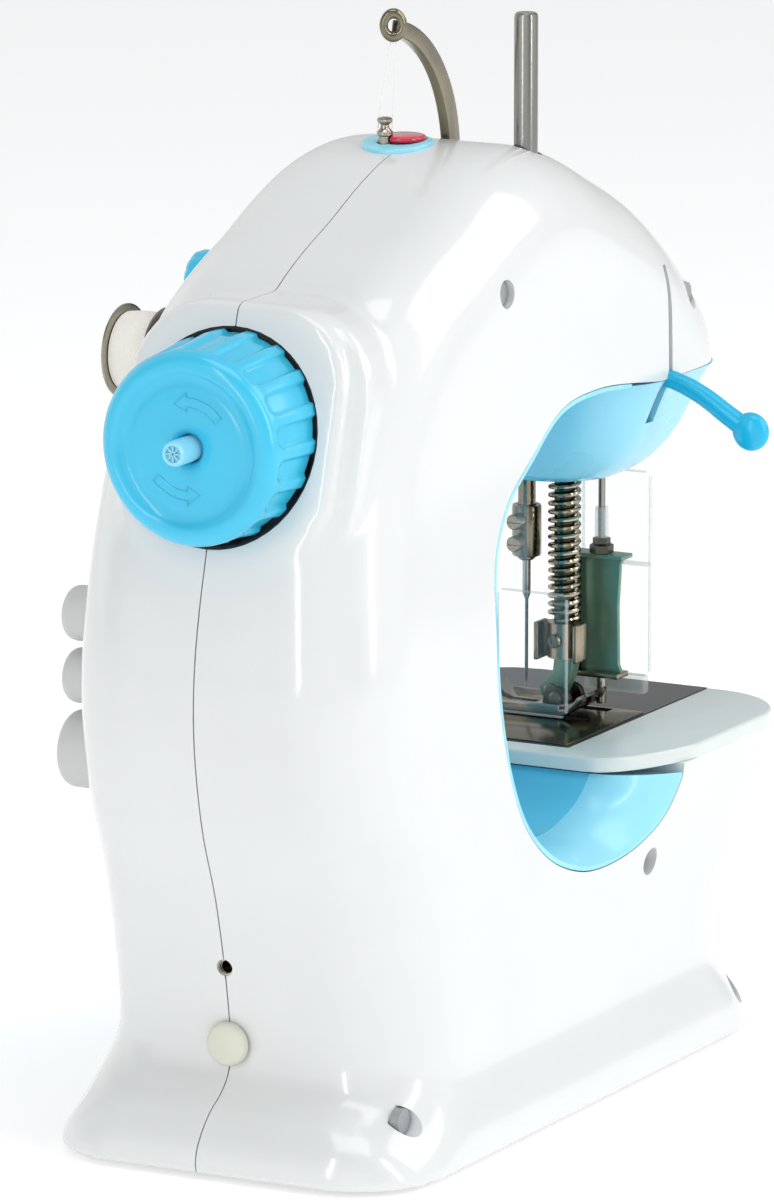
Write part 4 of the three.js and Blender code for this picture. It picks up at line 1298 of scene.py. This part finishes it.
    def presser(self) -> None:
        """Presser bar, its spring and the foot's holder."""
        x, y = self.needle_x, self.bar_y
        piece("presser_bar_skin", bore(Axis.Z, 85.6, 168, x, y, 2.3, 32), SHADOW_STEEL,
              "presser bar", ["presser_bar"])
        coils, steps = 17, 20
        path = []
        for i in range(coils * steps + 1):
            t = i / steps
            z = 93.4 + 32.2 * i / (coils * steps)
            path.append((x + 3.25 * math.cos(2 * math.pi * t), y + 3.25 * math.sin(2 * math.pi * t), z))
        piece("presser_coil", tube(path, 0.54, 8), SPRING, replaces=["presser_spring"])
        sleeve = turned(
            [(2.35, 84.8), (3.7, 84.8), (3.7, 92.8), (2.35, 92.8), (2.35, 84.8)], Axis.Z, x, y, 40
        )
        cheeks = []
        for a in (-5.4, 4.3):
            cheeks.append(block(x - 0.6, x + 4.6, y + a, y + a + 1.1, 84.4, 93.0, 0.35))
        webs = [block(x - 0.8, x + 0.6, y + a, y + a + 2.2, 84.6, 92.8, 0.2) for a in (-5.2, 3.0)]
        piece("foot_clamp", merged(sleeve, *cheeks, *webs), BRONZE, "presser bar", ["foot_holder"])
        head = [
            (0, x + 3.4), (1.6, x + 3.4), (1.6, x + 4.4), (1.3, x + 4.8), (0.8, x + 4.8), (0.8, x + 4.5),
            (0, x + 4.5)
        ]
        piece("foot_clamp_screw", turned(head, Axis.X, y - 0.3, 89.0, 32), DARK_NICKEL, "presser bar")
        lug_y, lug_z = y - 2.2, 77.4
        arc = [
            (
                lug_y + 3.1 * math.cos(math.radians(t)), lug_z + 2.3 * math.sin(math.radians(t))
            ) for t in range(-20, -221, -20)
        ]
        outline = [(y - 1.6, 84.8), (y + 3.4, 84.8), (y + 2.6, 81), (y + 1.6, 78.6), *arc, (y - 2.0, 81.4)]
        piece("foot_shank", plate(outline, Axis.X, x - 1.9, x + 1.9, 0.35), SAGE, "presser bar")
        stud = [(0, x + 1.8), (1.5, x + 1.8), (1.5, x + 2.5), (1.1, x + 2.8), (0, x + 2.8)]
        piece("ankle_stud", turned(stud, Axis.X, lug_y, lug_z, 32), DARK_NICKEL, "presser bar")

    def foot(self) -> None:
        """The presser foot."""
        x, y = self.needle_x, self.bar_y
        sole = [(-9, 76.2), (-6.5, 73.7), (-4, 72.9), (11.2, 72.9), (13.4, 73.3), (15.1, 74.6), (16.6, 76.8),
                (16.0, 77.3), (14.5, 75.4), (12.8, 74.3), (11, 74.0), (-3.8, 74.0), (-6, 74.8), (-8.4, 77.1)]
        bm = plate(sole, Axis.X, -65, -51.8, 0.15)
        bm = cut(bm, block(x - 1.3, x + 1.3, -12, 3, 70, 80, 0))
        lugs = []
        for a in (-62.4, -56):
            outline = [(6.0, 73.8), (12.8, 73.8), (12.8, 76)]
            outline += [
                (
                    y + 3.2 * math.cos(t * math.pi / 10), 76.2 + 2.4 * math.sin(t * math.pi / 10)
                ) for t in range(0, 11)
            ]
            lugs.append(plate(outline, Axis.X, a, a + 1.6, 0.2))
        pin = turned(
            [(0, -62.9), (0.8, -62.9), (0.8, -54.6), (1.5, -54.6), (1.5, -53.9), (1.1, -53.5), (0, -53.5)],
            Axis.X, y, 76, 24
        )
        prongs = []
        for a in (-64.4, -54.6):
            path = [(a, 10.5, 74.2), (a, 13.6, 74.6), (a, 15.6, 75.8), (a, 16.6, 77.3)]
            prongs.append(tube(path, (0.9, 0.85, 0.7, 0.45), 12))
        walls = [block(a, a + 0.6, -6.5, 11.5, 72.9, 75.2, 0.2) for a in (-65.2, -52.2)]
        piece("foot_sole", merged(bm, *prongs, *walls), NICKEL, "presser foot", ["presser_foot"])
        piece("foot_lugs", merged(*lugs), SHADOW_STEEL, "presser foot")
        piece("foot_pin", pin, DARK_NICKEL, "presser foot")

    def guards(self) -> None:
        """Clear finger guards, the sheet bracket and its rod."""
        for name, guard in (("far", self.far_guard), ("near", self.near_guard)):
            x0, y0, y1, z0, z1 = guard
            rim = 0.4
            inner = rounded_rectangle(y0 + rim, y1 - rim, z0 + rim, z1 - rim, 1.2, 5)
            node = "guard_left" if name == "far" else "guard_right"
            piece(f"guard_{name}_sheet", plate(inner, Axis.X, x0 + 0.1, x0 + 0.9), CLEAR, replaces=[node])
            frame = merged(
                block(x0, x0 + 1, y0 + 1.2, y1 - 1.2, z0, z0 + rim, 0.1),
                block(x0, x0 + 1, y0 + 1.2, y1 - 1.2, z1 - rim, z1, 0.1),
                block(x0, x0 + 1, y0, y0 + rim, z0 + 1.2, z1 - 1.2, 0.1),
                block(x0, x0 + 1, y1 - rim, y1, z0 + 1.2, z1 - 1.2, 0.1),
            )
            piece(f"guard_{name}_edge", frame, CLEAR_EDGE)
        foot = merged(
            block(-73.6, -70.6, 8, 23, 75, 79.2, 0.5), block(-73.0, -70.9, 7.2, 23.8, 104.2, 104.9, 0.2)
        )
        piece("guard_far_foot", foot, CLEAR_EDGE)
        stem = merged(
            block(-45.5, -44.5, 3, 6.5, 101.6, 125.7, 0.3), block(-45.9, -44.1, 2.4, 7.0, 103, 121.5, 0.4)
        )
        piece("guard_near_stem", stem, CLEAR)
        sheet = plate(
            [(9.0, 80.2), (19.2, 80.2), (18.4, 82), (18.2, 95), (18.8, 105), (20, 107), (8.4, 107)], Axis.X,
            -68.6, -67.4, 0.3
        )
        side = block(-68.4, -65.2, 8, 9.1, 80.4, 106.6, 0.3)
        top = block(-70.4, -65.0, 7.6, 20.4, 106.2, 107.2, 0.25)
        piece("edge_bracket_sheet", merged(sheet, top), SAGE, replaces=["edge_bracket"])
        piece("edge_bracket_fold", side, SHADOW_STEEL)
        flange = merged(
            block(-70.2, -64.6, 8, 19.6, 79.2, 80.4, 0.25), block(-66.2, -64.6, 7.4, 9.6, 104.8, 107.6, 0.4)
        )
        piece("edge_bracket_flange", flange, BRONZE)
        knob = [(0, 107.3), (2.7, 107.3), (2.7, 109.0), (2.0, 109.4), (2.0, 110.6), (0, 110.6)]
        piece("bracket_nut", turned(knob, Axis.Z, *self.rod_at, 6), SHADOW_STEEL)
        piece("guide_rod_pin", bore(Axis.Z, 107.3, 126, *self.rod_at, 0.8, 24), STEEL)
        piece("guide_rod_foot", bore(Axis.Z, 73, 80, *self.rod_at, 1.2, 24), NICKEL)
        sleeve = [(0.9, 110.7), (1.6, 110.7), (1.5, 117.6), (0.9, 117.6), (0.9, 110.7)]
        piece(
            "guide_rod_sleeve", turned(sleeve, Axis.Z, *self.rod_at, 24), CLEAR_EDGE, replaces=["guide_rod"]
        )


# ------------------------------------------------------------------ end face


@dataclass
class EndSockets:
    """The pedal jack and the rubber cover of the power socket."""

    jack_z: float = 43.0
    cover_z: float = 26.2

    def build(self) -> None:
        """Makes both sockets."""
        ring = [(1.4, 66), (1.75, 66), (1.75, 79.4), (1.4, 79.4), (1.4, 66)]
        floor = [(0, 66), (1.5, 66), (1.5, 67), (0, 67)]
        spring = block(70, 77.6, 0.7, 1.1, self.jack_z - 0.5, self.jack_z + 0.5, 0.1)
        piece("pedal_jack_bore", merged(
            turned(ring, Axis.X, 0, self.jack_z, 40), turned(floor, Axis.X, 0, self.jack_z, 40), spring,
        ), NICKEL)
        cover = [(0, 72), (3.2, 72), (3.6, 73), (3.6, 78.6), (4.4, 78.7), (4.75, 79.1), (4.8, 79.8),
                 (4.55, 80.5), (4.0, 80.95), (3.0, 81.15), (0, 81.25)]
        piece(
            "socket_cover_cap", turned(cover, Axis.X, 0, self.cover_z, 64), IVORY, "socket cover",
            ["dc_cover"]
        )


# ------------------------------------------------------------------ the studio


@dataclass
class Studio:
    """Camera, lights, floor and surroundings."""

    azimuth: float = 118.03
    elevation: float = 11.82
    distance: float = 2066.1
    lens: float = 286.4
    target: Point3 = (7.76, 0.0, 108.91)

    def camera(self) -> None:
        """Makes the camera at the viewing angle."""
        data = bpy.data.cameras.new("camera")
        data.lens = self.lens
        data.sensor_width = 36
        data.clip_start, data.clip_end = 0.05, 40
        cam = bpy.data.objects.new("camera", data)
        bpy.context.scene.collection.objects.link(cam)
        a, e = math.radians(self.azimuth), math.radians(self.elevation)
        back = Vector((math.sin(a) * math.cos(e), -math.cos(a) * math.cos(e), math.sin(e)))
        aim = TO_FRAME @ Vector(self.target)
        cam.location = aim + back * self.distance * MM
        cam.rotation_mode = "QUATERNION"
        cam.rotation_quaternion = (-back).to_track_quat("-Z", "Y")
        bpy.context.scene.camera = cam

    def light(
        self, name: str, azimuth: float, elevation: float, away: float, size: Point2, power: float
    ) -> None:
        """Adds one soft panel that faces the machine.

        Args:
            name: its name.
            azimuth: direction it stands in, in degrees.
            elevation: height above the horizon, in degrees.
            away: distance from the machine, in metres.
            size: width and height, in metres.
            power: its power, in watts.
        """
        data = bpy.data.lights.new(name, "AREA")
        data.shape = "RECTANGLE"
        data.size, data.size_y = size
        data.energy = power
        lamp = bpy.data.objects.new(name, data)
        bpy.context.scene.collection.objects.link(lamp)
        a, e = math.radians(azimuth), math.radians(elevation)
        out = Vector((math.sin(a) * math.cos(e), -math.cos(a) * math.cos(e), math.sin(e)))
        lamp.location = Vector((0, 0, 0.1)) + out * away
        lamp.rotation_mode = "QUATERNION"
        lamp.rotation_quaternion = (-out).to_track_quat("-Z", "Y")

    def surroundings(self) -> None:
        """Floor, world and lights."""
        bm = bmesh.new()
        bmesh.ops.create_grid(bm, x_segments=8, y_segments=8, size=6)
        mesh = bpy.data.meshes.new("floor")
        bm.to_mesh(mesh)
        bm.free()
        floor = bpy.data.objects.new("floor", mesh)
        floor.location.z = -0.0002
        bpy.context.scene.collection.objects.link(floor)
        paper = Finish("studio_floor", "", (0.92, 0.92, 0.92), 0.8, mottle=0.0).build()
        shader = paper.node_tree.nodes["Principled BSDF"]
        shader.inputs["Emission Color"].default_value = (1, 1, 1, 1)
        shader.inputs["Emission Strength"].default_value = 0.3
        mesh.materials.append(paper)
        self.sky()
        bpy.context.scene.view_settings.view_transform = "Standard"
        self.light("column_strip", 172, 28, 1.2, (0.1, 1.1), 3.2)
        self.light("arm_panel", 218, 38, 1.3, (0.7, 0.9), 4.0)
        self.light("end_strip", 84, 24, 1.3, (0.12, 1.2), 2.6)
        self.light("top_panel", 120, 78, 1.4, (0.9, 0.6), 3.6)

    def sky(self) -> None:
        """An even pale surround that darkens a little towards the ground."""
        world = bpy.data.worlds.new("studio")
        world.use_nodes = True
        tree = world.node_tree
        place = tree.nodes.new("ShaderNodeTexCoord")
        split = tree.nodes.new("ShaderNodeSeparateXYZ")
        tree.links.new(place.outputs["Generated"], split.inputs["Vector"])
        shades = tree.nodes.new("ShaderNodeValToRGB")
        stops = (
            (0.38, (0.7, 0.71, 0.72)), (0.46, (1.0, 1.0, 1.0)), (0.62, (0.9, 0.905, 0.91)),
            (1.0, (0.42, 0.43, 0.44))
        )
        ramp = shades.color_ramp
        while len(ramp.elements) < len(stops):
            ramp.elements.new(0.5)
        for element, (place_on, color) in zip(ramp.elements, stops):
            element.position = place_on
            element.color = (*color, 1)
        height = tree.nodes.new("ShaderNodeMapRange")
        height.inputs["From Min"].default_value = -1.0
        tree.links.new(split.outputs["Z"], height.inputs["Value"])
        tree.links.new(height.outputs["Result"], shades.inputs["Fac"])
        bands = tree.nodes.new("ShaderNodeValToRGB")
        stops = ((0.04, 0.45), (0.22, 1.0), (0.55, 1.0), (0.7, 0.4), (0.8, 0.55), (0.92, 1.0))
        while len(bands.color_ramp.elements) < len(stops):
            bands.color_ramp.elements.new(0.5)
        for element, (place_on, shade) in zip(bands.color_ramp.elements, stops):
            element.position = place_on
            element.color = (shade, shade, shade, 1)
        side = tree.nodes.new("ShaderNodeMapRange")
        side.inputs["From Min"].default_value = -1.0
        tree.links.new(split.outputs["X"], side.inputs["Value"])
        tree.links.new(side.outputs["Result"], bands.inputs["Fac"])
        blend = tree.nodes.new("ShaderNodeMixRGB")
        blend.blend_type = "MULTIPLY"
        blend.inputs["Fac"].default_value = 1.0
        tree.links.new(shades.outputs["Color"], blend.inputs["Color1"])
        tree.links.new(bands.outputs["Color"], blend.inputs["Color2"])
        tree.links.new(blend.outputs["Color"], tree.nodes["Background"].inputs["Color"])
        tree.nodes["Background"].inputs["Strength"].default_value = 1.12
        bpy.context.scene.world = world


def dress_nodes(frame: dict) -> None:
    """Gives every solid that stays on show its finish.

    Args:
        frame: what the frame loader returned.
    """
    slots = {s["node"]: s["material_slot"] for s in frame["record"]["subparts"]}
    for name, obj in frame["nodes"].items():
        obj.data.materials.clear()
        # Screws take the dark grey of painted shade at the bottom of their recesses.
        finish = SCREW_SHADE_GREY if name.startswith("screw_") else BY_SLOT[slots[name]]
        obj.data.materials.append(finish.build())


def main() -> None:
    """Builds the whole machine, one sub-assembly after another."""
    logging.basicConfig(level=logging.INFO, format="%(message)s")
    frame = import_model()
    studio = Studio()
    studio.camera()
    dress_nodes(frame)
    shape = BodyShape()
    Shells(shape).build()
    Throat(shape).build()
    Bed(shape).build()
    Handwheel().build()
    FrontControls().build()
    Top(shape).build()
    Head(shape).build()
    EndSockets().build()
    studio.surroundings()


if __name__ == "__main__":
    main()
